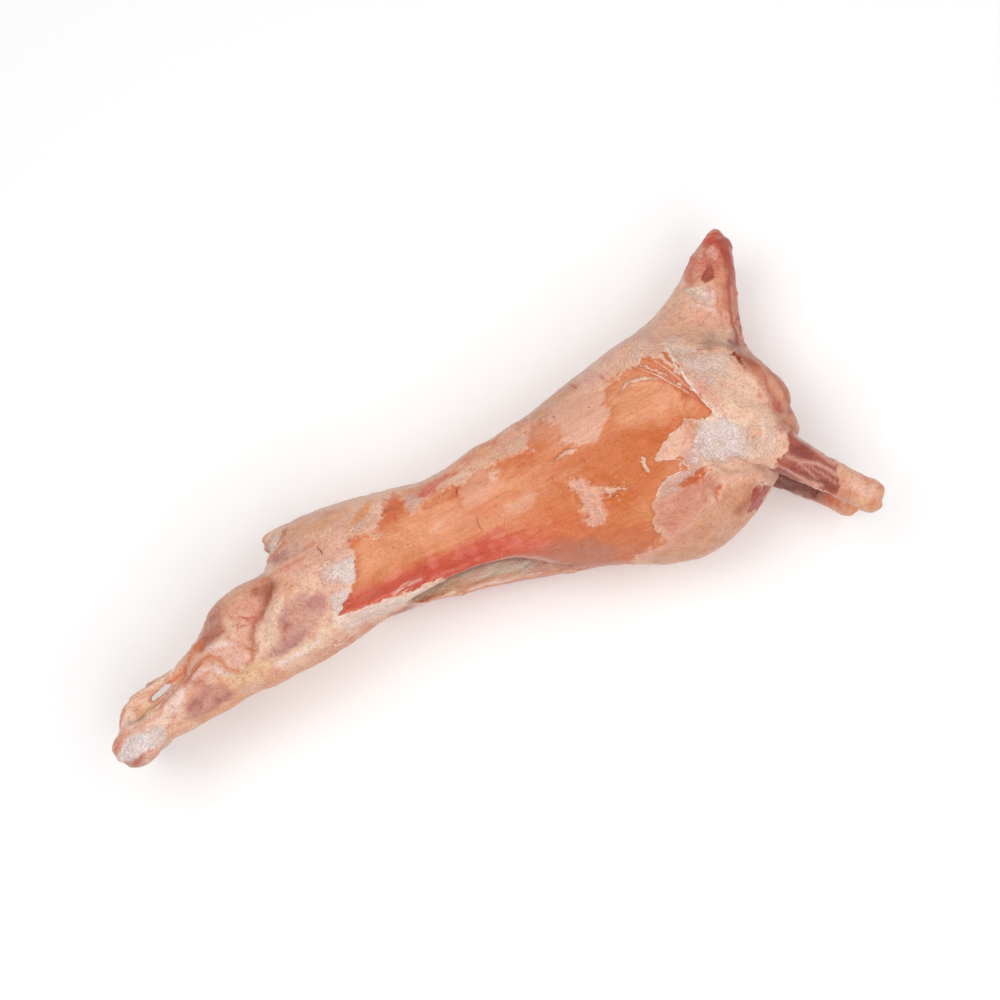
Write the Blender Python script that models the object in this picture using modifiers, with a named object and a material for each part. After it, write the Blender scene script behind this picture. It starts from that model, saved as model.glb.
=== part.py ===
"""A whole dressed lamb carcass, skinned, without head or feet, lying on its left side.

Body frame while modelling, in millimetres: +X towards the neck, +Y towards the spine, +Z towards the right
flank, which is the side that faces up. Z is 0 on the plane between the left and right halves. At the end the
carcass moves so that the surface it lies on is Z = 0, under the middle of its bounding box.
"""

import math

import bmesh
import bpy
import numpy as np
from mathutils import Matrix, Vector

MM = 0.001

# Driving dimensions, in millimetres
CHEST_WIDTH = 204
BUTTOCK_WIDTH = 212
LIE_DEPTH = 97            # from the middle plane down to the surface, where the flesh is pressed flat
GAMBREL_SLIT = (34, 10)   # length and width of the hole behind the shin, where the hook goes
NEAR_SLIT_CENTRE = (-461, -12)
FAR_SLIT_CENTRE = (-482, -17)   # where it would be on the near leg
SLIT_TURN = math.radians(15)
SLIT_CUT_SPAN = (18, 80)  # from and to which distance from the middle plane it is cut

# Mesh sizes, in millimetres
BODY_VOXEL = 5
LIMB_VOXEL = 3
BODY_SMOOTHING = 22
LIMB_SMOOTHING = 5
FINAL_TRIANGLES = 9600

RING_SIDES = 28
SPAN_STEPS = 4
SLIT_SIDES = 20

# Trunk: x, back, belly, half width, height of the widest level
TRUNK = (
    (-266, 93, 44, 26, 72),
    (-244, 99, -4, 58, 50),
    (-206, 97, -42, 78, 34),
    (-160, 88, -56, 80, 26),
    (-116, 76, -80, 75, 18),
    (-70, 64, -104, 73, 10),
    (-20, 63, -120, 76, 2),
    (40, 67, -122, 85, -6),
    (100, 75, -143, 95, -14),
    (150, 85, -171, 0.5 * CHEST_WIDTH - 1, -20),
    (195, 92, -180, 0.5 * CHEST_WIDTH, -24),
    (240, 97, -170, 0.5 * CHEST_WIDTH - 4, -26),
    (285, 98, -150, 89, -28),
    (325, 66, -122, 72, -34),
    (354, -16, -102, 40, -58),
)

# Limbs and neck: x, y, z, half depth across the limb in the middle plane's direction, half width
NECK = (
    (250, 16, 0, 80, 62),
    (296, 50, 0, 64, 54),
    (335, 93, 0, 40, 42),
    (367, 130, 0, 26, 31),
    (384, 153, 0, 17, 22),
)
TAIL = (
    (-216, 70, 0, 26, 38),
    (-248, 83, 0, 17, 27),
    (-274, 87, 0, 10, 16),
)
THIGH = (
    (-110, -8, 44, 50, 34),
    (-155, 0, 52, 62, 46),
    (-200, 4, 0.5 * BUTTOCK_WIDTH - 52, 65, 52),
    (-245, -4, 0.5 * BUTTOCK_WIDTH - 52, 63, 50),
    (-290, -12, 52, 60, 45),
    (-330, -14, 50, 60, 40),
    (-360, -18, 49, 54, 36),
    (-390, -28, 48, 43, 31),
    (-418, -36, 47, 34, 26),
)
SHANK = (
    (-350, -28, 48, 32, 24),
    (-390, -35, 47, 35, 26),
    (-420, -40, 46, 30, 24),
    (-446, -45, 46, 25, 21),
    (-470, -46, 46, 22, 20),
    (-492, -49, 46, 22, 20),
    (-511, -54, 46, 25, 21),
    (-528, -57, 46, 22, 19),
    (-539, -60, 46, 14, 14),
)
HEEL = (
    (-513, -50, 46, 19, 17),
    (-507, -28, 46, 15, 13),
    (-502, -11, 46, 9, 9),
)
TENDON = (
    (-504, -14, 46, 8, 8),
    (-488, -8, 46, 6, 6),
    (-470, -5, 46, 5.5, 5.5),
    (-446, -4, 46, 6, 6),
    (-420, -3, 46.5, 9, 9),
    (-394, 1, 47, 14, 15),
)
WEB = (
    (-504, -24, 46, 12, 6),
    (-480, -18, 46, 11, 5),
    (-450, -16, 46, 13, 5),
    (-422, -12, 46, 18, 8),
)
FOREARM = (
    (292, -72, 64, 40, 32),
    (313, -118, 64, 26, 27),
    (336, -155, 62, 21, 23),
    (354, -182, 60, 18, 18),
    (368, -203, 59, 17, 17),
    (379, -219, 58, 19, 18),
    (386, -228, 58, 15, 14),
)

# Muscles, mirrored onto both sides: start, end, half depth, half width
BODY_MUSCLES = (
    ((-264, 44, 46), (-122, 46, 42), 36, 40),
    ((-381, 24, 48), (-258, 30, 56), 25, 36),
    ((-292, 54, 24), (-230, 76, 20), 13, 26),
    ((-272, -30, 62), (-160, -26, 62), 23, 36),
    ((-120, 36, 30), (230, 46, 34), 25, 30),
    ((190, 74, 56), (353, -80, 62), 52, 38),
    ((222, 20, 68), (296, -112, 70), 50, 36),
)
LIMB_MUSCLES = (
    ((-356, 13, 56), (-300, 19, 66), 28, 24),
    ((-300, 4, 70), (-196, 26, 78), 40, 26),
    ((-424, -16, 54), (-322, -8, 60), 22, 22),
    ((-420, -48, 54), (-330, -42, 60), 17, 18),
    ((236, -28, 76), (286, -122, 76), 38, 26),
    ((298, -104, 70), (346, -166, 66), 16, 18),
    ((364, -210, 50), (386, -235, 50), 9, 10),
    ((368, -202, 68), (390, -227, 68), 9, 9),
    ((-533, -44, 38), (-527, -76, 38), 9, 10),
    ((-537, -44, 56), (-527, -74, 56), 9, 9),
)
NECK_BONE = ((364, 132, 0), (389, 163, 0), 12, 13)

# Swellings and furrows drawn on both sides: x and y of the two ends, reach to each side, height
RELIEF = (
    (-298, 52, -318, -20, 14, -6),
    (-318, -20, -400, -10, 12, -4),
    (-324, -52, -430, -40, 10, -3),
    (-204, -64, -150, -26, 12, -5),
    (-250, 66, -190, 22, 14, -4),
    (-150, 60, -110, -30, 20, -4),
    (214, 78, 298, -72, 15, 5),
    (192, 66, 210, -40, 20, -4),
    (210, -40, 232, -124, 22, -5),
    (232, -128, 292, -112, 18, -5),
    (256, 62, 318, -40, 18, -3),
    (300, -92, 330, -126, 12, -3),
    (282, 66, 336, 44, 16, -5),
)

# Belly opening: x, near rim half width, far rim half width, hollow half width, its widest level, its top,
# near rim height, far rim height
BELLY = (
    (-188, 3, 2, 3, -56, -50, -76, -76),
    (-166, 22, 12, 26, -40, -14, -64, -62),
    (-140, 36, 16, 40, -30, 6, -60, -62),
    (-100, 45, 18, 50, -22, 12, -60, -70),
    (-70, 47, 18, 55, -22, 14, -62, -78),
    (-30, 42, 16, 58, -30, 15, -72, -91),
    (0, 28, 12, 58, -38, 16, -86, -103),
    (26, 12, 6, 50, -44, 14, -106, -114),
    (46, 2, 2, 36, -50, 8, -128, -128),
)
BELLY_CUT_REACH = 95
BELLY_CUT_DEPTH = -190

# Chest hollow ahead of the opening: x, top, bottom, half width, widest level
CHEST_HOLLOW = (
    (-70, 10, -34, 34, -14),
    (-20, 15, -70, 56, -26),
    (40, 17, -98, 66, -34),
    (100, 20, -118, 76, -40),
    (160, 22, -134, 80, -44),
    (210, 18, -124, 68, -46),
    (240, -4, -88, 36, -46),
)

# The far legs lie further forward or back, and nearer the spine, than the near ones. Each stretch is where
# the move grows from nothing to all of it.
FAR_HIND_SWAY = (8, 21)
FAR_FORE_SWAY = (-11, 21)
FAR_SIDE_STRETCH = (0, 30)
HIP_STRETCH = (130, 200)
SHIN_STRETCH = (230, 400)
ELBOW_DROP_STRETCH = (90, 200)
ELBOW_REACH_STRETCH = (270, 320)

FLOOR_BLOCK = (1400, 700, 200)

FLESH_COLOUR = (0.64, 0.33, 0.22, 1)
FLESH_ROUGHNESS = 0.45


def clear_scene():
    for obj in list(bpy.data.objects):
        bpy.data.objects.remove(obj)


def ramp(value, start, end):
    """A smooth rise from 0 at start to 1 at end."""
    share = min(max((value - start) / (end - start), 0), 1)
    return share * share * (3 - 2 * share)


def settle(point):
    """Moves a point of the far side to where that side's limbs lie."""
    x, y, z = point
    side = ramp(-z, *FAR_SIDE_STRETCH)
    hip = ramp(-x, *HIP_STRETCH)
    shin = ramp(-x, *SHIN_STRETCH)
    elbow = ramp(-y, *ELBOW_DROP_STRETCH) * ramp(x, *ELBOW_REACH_STRETCH)
    return Vector((
        x + side * (FAR_HIND_SWAY[0] * shin + FAR_FORE_SWAY[0] * elbow),
        y + side * (FAR_HIND_SWAY[1] * (0.5 * hip + 0.5 * shin) + FAR_FORE_SWAY[1] * elbow),
        z,
    ))


def catmull_rom(rows, steps):
    """Every column of the rows as a smooth curve through them, with steps between each two."""
    padded = [rows[0], *rows, rows[-1]]
    out = []
    for before, start, end, after in zip(padded, padded[1:], padded[2:], padded[3:]):
        for step in range(steps):
            t = step / steps
            out.append([
                0.5 * (2 * b + (c - a) * t + (2 * a - 5 * b + 4 * c - d) * t * t
                       + (3 * b - a - 3 * c + d) * t ** 3)
                for a, b, c, d in zip(before, start, end, after)
            ])
    return [*out, list(rows[-1])]


def skin_rings(bm, rings):
    """Closes a tube through the rings of points, with a flat cap at each end."""
    loops = [[bm.verts.new(Vector(point) * MM) for point in ring] for ring in rings]
    for near, far in zip(loops, loops[1:]):
        for i in range(len(near)):
            j = (i + 1) % len(near)
            bm.faces.new((near[i], near[j], far[j], far[i]))
    bm.faces.new(loops[0][::-1])
    bm.faces.new(loops[-1])


def egg_ring(x, top, bottom, half_width, widest):
    """An egg-shaped section square to the back, widest at the given level."""
    ring = []
    for side in range(RING_SIDES):
        angle = math.tau * side / RING_SIDES
        up = math.sin(angle)
        reach = top - widest if up > 0 else widest - bottom
        ring.append((x, widest + reach * up, half_width * math.cos(angle)))
    return ring


def add_eggs(bm, stations):
    skin_rings(bm, [egg_ring(*row) for row in catmull_rom(stations, SPAN_STEPS)])


def add_limb(bm, stations, mirror=1):
    """Oval sections square to the limb's own line, which runs in a plane beside the middle one."""
    rows = catmull_rom(stations, SPAN_STEPS)
    rings = []
    for index, (x, y, z, half_depth, half_width) in enumerate(rows):
        before = rows[max(index - 1, 0)]
        after = rows[min(index + 1, len(rows) - 1)]
        along = Vector((after[0] - before[0], after[1] - before[1], 0)).normalized()
        across = Vector((-along.y, along.x, 0))
        ring = []
        for side in range(RING_SIDES):
            angle = math.tau * side / RING_SIDES
            offset = across * (half_depth * math.cos(angle))
            offset.z = half_width * math.sin(angle)
            ring.append(Vector((x, y, z * mirror)) + offset)
        rings.append(ring)
    skin_rings(bm, rings)


def add_muscle(bm, start, end, half_depth, half_width, mirror=1):
    """A long egg between two points."""
    start = Vector((start[0], start[1], start[2] * mirror))
    end = Vector((end[0], end[1], end[2] * mirror))
    along = end - start
    size = Matrix.Diagonal((0.5 * along.length, half_depth, half_width, 1))
    turn = along.to_track_quat("X", "Z").to_matrix().to_4x4()
    matrix = Matrix.Scale(MM, 4) @ Matrix.Translation((start + end) / 2) @ turn @ size
    bmesh.ops.create_uvsphere(bm, u_segments=20, v_segments=12, radius=1, matrix=matrix)


def settle_mesh(bm):
    for vert in bm.verts:
        vert.co = settle(vert.co / MM) * MM


def new_object(name, bm, collection):
    bmesh.ops.recalc_face_normals(bm, faces=bm.faces)
    mesh = bpy.data.meshes.new(name)
    bm.to_mesh(mesh)
    bm.free()
    obj = bpy.data.objects.new(name, mesh)
    collection.objects.link(obj)
    return obj


def new_cutter(name, bm, collection):
    cutter = new_object(name, bm, collection)
    cutter.hide_render = True
    cutter.display_type = "WIRE"
    return cutter


def bake(obj):
    """Turns the object's modifiers into its own mesh."""
    graph = bpy.context.evaluated_depsgraph_get()
    mesh = bpy.data.meshes.new_from_object(obj.evaluated_get(graph))
    obj.modifiers.clear()
    obj.data = mesh


def fuse(obj, voxel, smoothing):
    """Melts overlapping masses into one skin and softens the creases between them."""
    remesh = obj.modifiers.new("melt", "REMESH")
    remesh.mode = "VOXEL"
    remesh.voxel_size = voxel * MM
    soften = obj.modifiers.new("soften", "SMOOTH")
    soften.factor = 0.5
    soften.iterations = smoothing
    bake(obj)


def cut(obj, cutter):
    modifier = obj.modifiers.new("cut " + cutter.name, "BOOLEAN")
    modifier.operation = "DIFFERENCE"
    modifier.solver = "EXACT"
    modifier.object = cutter


def belly_cutter(collection):
    """Opens the belly between the flanks, whose two rims hang at different heights."""
    rings = []
    for x, near, far, hollow, widest, top, near_rim, far_rim in catmull_rom(BELLY, SPAN_STEPS):
        ring = [(x, BELLY_CUT_DEPTH, BELLY_CUT_REACH), (x, near_rim, BELLY_CUT_REACH), (x, near_rim, near)]
        for side in range(RING_SIDES // 2 + 1):
            angle = math.tau * side / RING_SIDES
            ring.append((x, widest + (top - widest) * math.sin(angle), hollow * math.cos(angle)))
        ring += [(x, far_rim, -far), (x, far_rim, -BELLY_CUT_REACH), (x, BELLY_CUT_DEPTH, -BELLY_CUT_REACH)]
        rings.append(ring)
    bm = bmesh.new()
    skin_rings(bm, rings)
    return new_cutter("belly_opening", bm, collection)


def slit_cutter(name, centre, mirror, collection):
    """A long rounded prism through one hind leg, between the shin and its tendon."""
    length, width = GAMBREL_SLIT
    straight = 0.5 * (length - width)
    outline = []
    for side in range(SLIT_SIDES):
        angle = math.tau * (side + 0.5) / SLIT_SIDES
        along = 0.5 * width * math.cos(angle) + math.copysign(straight, math.cos(angle))
        across = 0.5 * width * math.sin(angle)
        outline.append((
            centre[0] + along * math.cos(SLIT_TURN) - across * math.sin(SLIT_TURN),
            centre[1] + along * math.sin(SLIT_TURN) + across * math.cos(SLIT_TURN),
        ))
    inner, outer = (span * mirror for span in SLIT_CUT_SPAN)
    sway = settle((*centre, outer)) - Vector((*centre, outer))
    bm = bmesh.new()
    skin_rings(bm, [[(x + sway.x, y + sway.y, z) for x, y in outline] for z in (inner, outer)])
    return new_cutter(name, bm, collection)


def floor_cutter(collection):
    """Everything under the surface the carcass lies on."""
    size = Matrix.Diagonal((*FLOOR_BLOCK, 1))
    drop = -LIE_DEPTH - 0.5 * FLOOR_BLOCK[2]
    matrix = Matrix.Scale(MM, 4) @ Matrix.Translation((0, 0, drop)) @ size
    bm = bmesh.new()
    bmesh.ops.create_cube(bm, size=1, matrix=matrix)
    return new_cutter("resting_surface", bm, collection)


def draw_relief(obj):
    """Pushes the skin in or out along the drawn lines, only where it faces sideways."""
    mesh = obj.data
    points = np.empty(len(mesh.vertices) * 3)
    mesh.vertices.foreach_get("co", points)
    points = points.reshape(-1, 3) / MM
    normals = np.empty(len(mesh.vertices) * 3)
    mesh.vertices.foreach_get("normal", normals)
    normals = normals.reshape(-1, 3)
    outward = np.clip(normals[:, 2] * np.sign(points[:, 2]), 0, 1)
    push = np.zeros(len(points))
    for x1, y1, x2, y2, reach, height in RELIEF:
        run = np.array((x2 - x1, y2 - y1), float)
        start = points[:, :2] - np.array((x1, y1), float)
        share = np.clip(start @ run / (run @ run), 0, 1)
        distance = np.linalg.norm(start - share[:, None] * run, axis=1)
        push += height * np.exp(-(distance / reach) ** 2)
    points += normals * (push * outward)[:, None]
    mesh.vertices.foreach_set("co", (points * MM).ravel())
    mesh.update()


def thin_out(obj):
    """Brings the skin down to the final number of triangles."""
    mesh = obj.data
    mesh.calc_loop_triangles()
    decimate = obj.modifiers.new("thin out", "DECIMATE")
    decimate.ratio = FINAL_TRIANGLES / len(mesh.loop_triangles)
    bake(obj)


def rest_on_origin(carcass, cutters):
    """Moves everything so that the carcass lies on Z = 0, under the middle of its bounding box."""
    graph = bpy.context.evaluated_depsgraph_get()
    mesh = bpy.data.meshes.new_from_object(carcass.evaluated_get(graph))
    points = np.array([vert.co for vert in mesh.vertices])
    low, high = points.min(axis=0), points.max(axis=0)
    bpy.data.meshes.remove(mesh)
    shift = Matrix.Translation((-0.5 * (low[0] + high[0]), -0.5 * (low[1] + high[1]), LIE_DEPTH * MM))
    for obj in (carcass, *cutters):
        obj.data.transform(shift)


def flesh_material():
    material = bpy.data.materials.new("raw lamb")
    material.use_nodes = True
    shader = material.node_tree.nodes["Principled BSDF"]
    shader.inputs["Base Color"].default_value = FLESH_COLOUR
    shader.inputs["Roughness"].default_value = FLESH_ROUGHNESS
    shader.inputs["Metallic"].default_value = 0
    return material


def build():
    clear_scene()
    parts = bpy.data.collections.new("lamb_carcass")
    tools = bpy.data.collections.new("cutters")
    for collection in (parts, tools):
        bpy.context.scene.collection.children.link(collection)

    body = bmesh.new()
    add_eggs(body, TRUNK)
    add_limb(body, NECK)
    for mirror in (1, -1):
        add_limb(body, THIGH, mirror)
        for muscle in BODY_MUSCLES:
            add_muscle(body, *muscle, mirror)
    settle_mesh(body)
    carcass = new_object("lamb_carcass", body, parts)
    fuse(carcass, BODY_VOXEL, BODY_SMOOTHING)

    belly = belly_cutter(tools)
    hollow = bmesh.new()
    add_eggs(hollow, CHEST_HOLLOW)
    chest = new_cutter("chest_hollow", hollow, tools)
    cut(carcass, belly)
    cut(carcass, chest)
    bake(carcass)

    limbs = bmesh.new()
    add_limb(limbs, TAIL)
    add_muscle(limbs, *NECK_BONE)
    for mirror in (1, -1):
        for stations in (SHANK, HEEL, TENDON, WEB, FOREARM):
            add_limb(limbs, stations, mirror)
        for muscle in LIMB_MUSCLES:
            add_muscle(limbs, *muscle, mirror)
    settle_mesh(limbs)
    limbs.from_mesh(carcass.data)
    limbs.to_mesh(carcass.data)
    limbs.free()
    fuse(carcass, LIMB_VOXEL, LIMB_SMOOTHING)
    draw_relief(carcass)
    thin_out(carcass)

    near_slit = slit_cutter("near_gambrel_slit", NEAR_SLIT_CENTRE, 1, tools)
    far_slit = slit_cutter("far_gambrel_slit", FAR_SLIT_CENTRE, -1, tools)
    floor = floor_cutter(tools)
    for cutter in (near_slit, far_slit, floor):
        cut(carcass, cutter)
    carcass.data.materials.append(flesh_material())
    carcass.data.shade_smooth()
    rest_on_origin(carcass, (belly, chest, near_slit, far_slit, floor))


build()
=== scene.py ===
"""The looks of a whole dressed lamb carcass: skinned, without head or feet, lying on its left side.

Shapes and paint are laid out in millimetres from the carcass's middle plane: +X towards the neck,
+Y towards the spine, +Z towards the flank that faces up. Places on the skin are given as they are seen
from the side.
"""

import itertools
import math

import bmesh
import bpy
import numpy as np
from mathutils import Matrix, Vector
from mathutils.bvhtree import BVHTree
from mathutils.kdtree import KDTree


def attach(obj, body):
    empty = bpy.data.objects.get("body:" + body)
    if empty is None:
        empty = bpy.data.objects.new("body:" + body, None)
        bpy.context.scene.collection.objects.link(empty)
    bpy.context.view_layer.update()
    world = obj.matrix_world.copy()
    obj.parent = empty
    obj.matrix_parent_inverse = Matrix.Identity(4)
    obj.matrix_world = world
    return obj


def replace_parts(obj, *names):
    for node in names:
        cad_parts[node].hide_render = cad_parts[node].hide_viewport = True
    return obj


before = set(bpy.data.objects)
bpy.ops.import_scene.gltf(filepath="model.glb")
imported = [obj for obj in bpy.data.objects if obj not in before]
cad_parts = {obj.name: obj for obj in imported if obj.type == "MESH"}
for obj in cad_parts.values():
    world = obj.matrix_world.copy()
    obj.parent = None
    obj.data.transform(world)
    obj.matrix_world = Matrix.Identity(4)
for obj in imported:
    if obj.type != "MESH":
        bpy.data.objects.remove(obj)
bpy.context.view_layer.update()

MM = 0.001
CARCASS = "lamb_carcass"

# Where the middle of the carcass lies in the frame, in millimetres, and how far below it the carcass rests
MIDDLE = np.array((72.72, 35.89, 97.0))
LIE_DEPTH = 97

# The camera: how far off it stands in millimetres, its height and roll, its lens and its sensor
VIEW_DISTANCE = 3000
VIEW_HEIGHT = math.radians(80)
VIEW_ROLL = math.radians(29)
LENS = 90
SENSOR = 36

# The mesh of the skin, in millimetres
WELD = 0.01
SKIN_VOXEL = 2.4
SKIN_SOFTENING = 4
NOISE_CELLS = 32
# Bump of the skin and of the cords, in metres
SKIN_BUMP = 0.0022
CORD_BUMP = 0.0004

# The walls of the hollow are looked for in this box, up to this far across
INSIDE_BOX = ((-190, -140, -92), (250, 40, 92))
INSIDE_REACH = 190
INSIDE_SPREAD = 2

# Cords and crumbs: the step along a cord, the share of its radius that it sinks in, how many radii it stays
# above the table, and how many vertices carry a place
STRAND_STEP = 2.5
STRAND_SINK = 0.35
TABLE_ROOM = 1.3
NEAR_SPOTS = 4

# How far noise moves each kind of outline about
EDGE_WARP = 4
RELIEF_WARP = 2
COVER_WARP = 3
BARE_WARP = 1.5
MARK_WARP = 1
BARE_MARK_WARP = 0.8

# The torn edge is kept on the skin as a depth, up to this far on both sides, and as a width, up to this
EDGE_REACH = 12
WIDEST_EDGE = 16

# The moist gloss and the lamps' strength are taken off a seen colour to get the surface's own
GLOSS_VEIL = 0.045
LAMP_STRENGTH = 0.88

# The studio: soft lamps with their name, place in metres, width and power, and the pale table
LAMPS = (
    ("key", (-0.6, 0.6, 2.8), 1.8, 28),
    ("belly_side", (0.3, -1.5, 2.5), 2.0, 25),
    ("fill", (1.6, -0.2, 2.6), 2.2, 14),
)
LAMP_TARGET = (0, 0, 0.1)
WORLD_LIGHT = 0.4
FLOOR_HALF = 6
FLOOR_WHITE = (0.96, 0.96, 0.96, 1)
FLOOR_GLOW = 0.1

# Colours as seen, from 0 to 255
BEIGE = (231, 185, 162)
PINK = (225, 168, 150)
TAN = (222, 163, 131)
DUSKY_PINK = (205, 135, 114)
DUSKY_TAN = (207, 148, 118)
FROST = (255, 219, 207)
CREAM = (238, 210, 186)
SHELL = (246, 213, 203)
STRAW = (230, 190, 146)
PALE_ROSE = (227, 173, 157)
MAUVE = (198, 146, 138)
DEEP_MAUVE = (184, 124, 120)
PURPLE = (193, 131, 122)
DEEP_PURPLE = (172, 110, 106)
ROSE_BROWN = (176, 106, 92)
TAN_BROWN = (208, 146, 118)
CREASE_BROWN = (172, 106, 84)
RUST = (204, 116, 84)
ORANGE = (214, 132, 92)
LIGHT_ORANGE = (219, 142, 102)
PALE_ORANGE = (229, 161, 125)
DEEP_ORANGE = (204, 115, 72)
BRIGHT_ORANGE = (228, 146, 90)
RED_ORANGE = (214, 122, 86)
RED = (209, 102, 82)
DEEP_RED = (200, 88, 74)
BLOOD = (186, 66, 50)
GREY_BROWN = (154, 128, 110)
CORAL = (204, 114, 92)
FRONT_BROWN = (190, 120, 97)
BURGUNDY = (172, 100, 86)
DARK_MEAT = (154, 86, 76)
SHADED_MEAT = (136, 92, 82)
LINING = (247, 222, 202)
PINK_LINING = (247, 202, 180)
GREY_LINING = (222, 202, 184)
SHADED_LINING = (200, 174, 154)
RIM_LINING = (222, 154, 120)
VIOLET_LINING = (234, 180, 160)
DARK_LINING = (176, 116, 98)
VIOLET_SKIN = (192, 124, 102)
LILAC = (255, 222, 220)
MUSCLE_RED = (178, 88, 78)
# Dark meat of the throat, with painted shade on the neck's shaded throat side and where the neck meets the
# shoulder
THROAT_BROWN = (148, 80, 70)
FILM_PINK = (228, 166, 140)
VEIL = (230, 176, 152)

# The bare sheet of the flank, where the pale cover is torn off
SHEET_OUTLINE = (
    (-207, -8), (-198, 2), (-190, 14), (-184, 28), (-186, 42), (-178, 44), (-150, 40), (-140, 48),
    (-128, 62), (-108, 66), (-98, 50), (-90, 40), (-60, 44), (-30, 40), (-10, 46), (20, 46), (40, 40),
    (62, 36), (66, 58), (90, 64), (130, 68), (170, 60), (185, 62), (215, 62), (236, 66), (258, 60),
    (264, 30), (268, 0), (272, -30), (262, -36), (240, -24), (215, -30), (200, -38), (182, -45),
    (200, -56), (215, -62), (212, -74), (190, -74), (172, -78), (158, -92), (150, -108), (146, -122),
    (152, -134), (130, -140), (100, -138), (60, -132), (20, -122), (-20, -104), (-60, -84), (-96, -66),
    (-104, -47), (-160, -40), (-215, -31), (-242, -28), (-215, -18),
)
# Bare meat: the foreleg, the neck's end and edge, the front of the shoulder and the brisket's cut
MEAT_OUTLINES = (
    ((296, -124), (316, -120), (330, -112), (338, -98), (353, -100), (364, -130), (372, -153),
     (365, -162), (362, -181), (352, -184), (340, -174), (326, -158), (308, -140)),
    ((344, 110), (347, 120), (352, 128), (364, 126), (361, 116), (351, 108)),
    ((360, 148), (366, 158), (384, 160), (392, 150), (384, 143), (370, 146)),
    ((341, 20), (352, 46), (363, 72), (379, 106), (389, 132), (400, 132), (384, 90), (366, 52),
     (350, 18)),
    ((250, -153), (256, -145), (272, -139), (286, -135), (290, -142), (264, -160)),
    ((325, 20), (328, 6), (334, -2), (335, 3), (330, 20)),
    ((192, -84), (215, -82), (236, -88), (226, -94), (198, -92)),
    ((222, -122), (232, -112), (240, -110), (236, -116), (226, -124)),
)
# Scraps of the pale cover that are left on the sheet
SCRAP_OUTLINES = (
    ((80, -20), (98, -22), (103, -38), (113, -48), (104, -58), (105, -74), (96, -86), (82, -82),
     (75, -70), (78, -56), (84, -45)),
    ((0, 33), (8, 36), (16, 30), (9, 24), (3, 27)),
    ((106, -45), (112, -53), (126, -60), (142, -60), (130, -56), (118, -49)),
    ((84, 11), (97, 15), (113, 9), (99, 7)),
    ((188, 44), (204, 50), (224, 46), (238, 36), (222, 40), (204, 45)),
    ((-104, 44), (-98, 56), (-88, 60), (-81, 52), (-86, 43), (-94, 37)),
    ((-166, 37), (-152, 37), (-146, 31), (-157, 32)),
    ((168, -38), (173, -40), (174, -56), (169, -60)),
    ((214, 64), (226, 58), (238, 42), (254, 14), (262, -6), (257, 12), (244, 38), (232, 56), (222, 66)),
    ((238, 64), (247, 55), (258, 32), (266, 4), (262, 32), (253, 58), (246, 66)),
    ((-104, -46), (-140, -44), (-168, -41), (-140, -47)),
    ((-20, 44), (-4, 52), (20, 50), (36, 54), (52, 48), (44, 42), (16, 44)),
)
# The width of a crisp torn edge, and where it is lacy or fades: how wide, outline
CRISP_EDGE = 1.7
SOFT_EDGES = (
    (16, ((-178, 26), (-140, 24), (-60, 22), (40, 20), (110, 26), (150, 46), (196, 56), (196, 100),
          (-178, 100))),
    (12, ((66, -12), (104, -12), (112, -40), (112, -92), (66, -92))),
    (9, ((104, -38), (150, -44), (150, -68), (104, -62))),
    (11, ((40, -96), (120, -128), (160, -124), (160, -170), (20, -130))),
    (6, ((205, -70), (260, -80), (250, -130), (180, -130))),
    (5, ((330, 100), (350, 100), (400, 170), (350, 170), (325, 130))),
    (6, ((290, -100), (330, -112), (336, -96), (380, -96), (410, -210), (340, -210), (290, -146))),
    (4, ((244, -164), (252, -132), (292, -128), (292, -150), (262, -168))),
    (8, ((-224, -18), (-200, -12), (-168, 24), (-168, 44), (-200, 46), (-228, 0))),
)
# Where the cover was cut with a clean edge
CLEAN_CUT = ((-252, -20), (-180, -28), (-100, -38), (-20, -56), (20, -80), (20, -100), (-60, -70),
             (-160, -52), (-252, -40))

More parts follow.
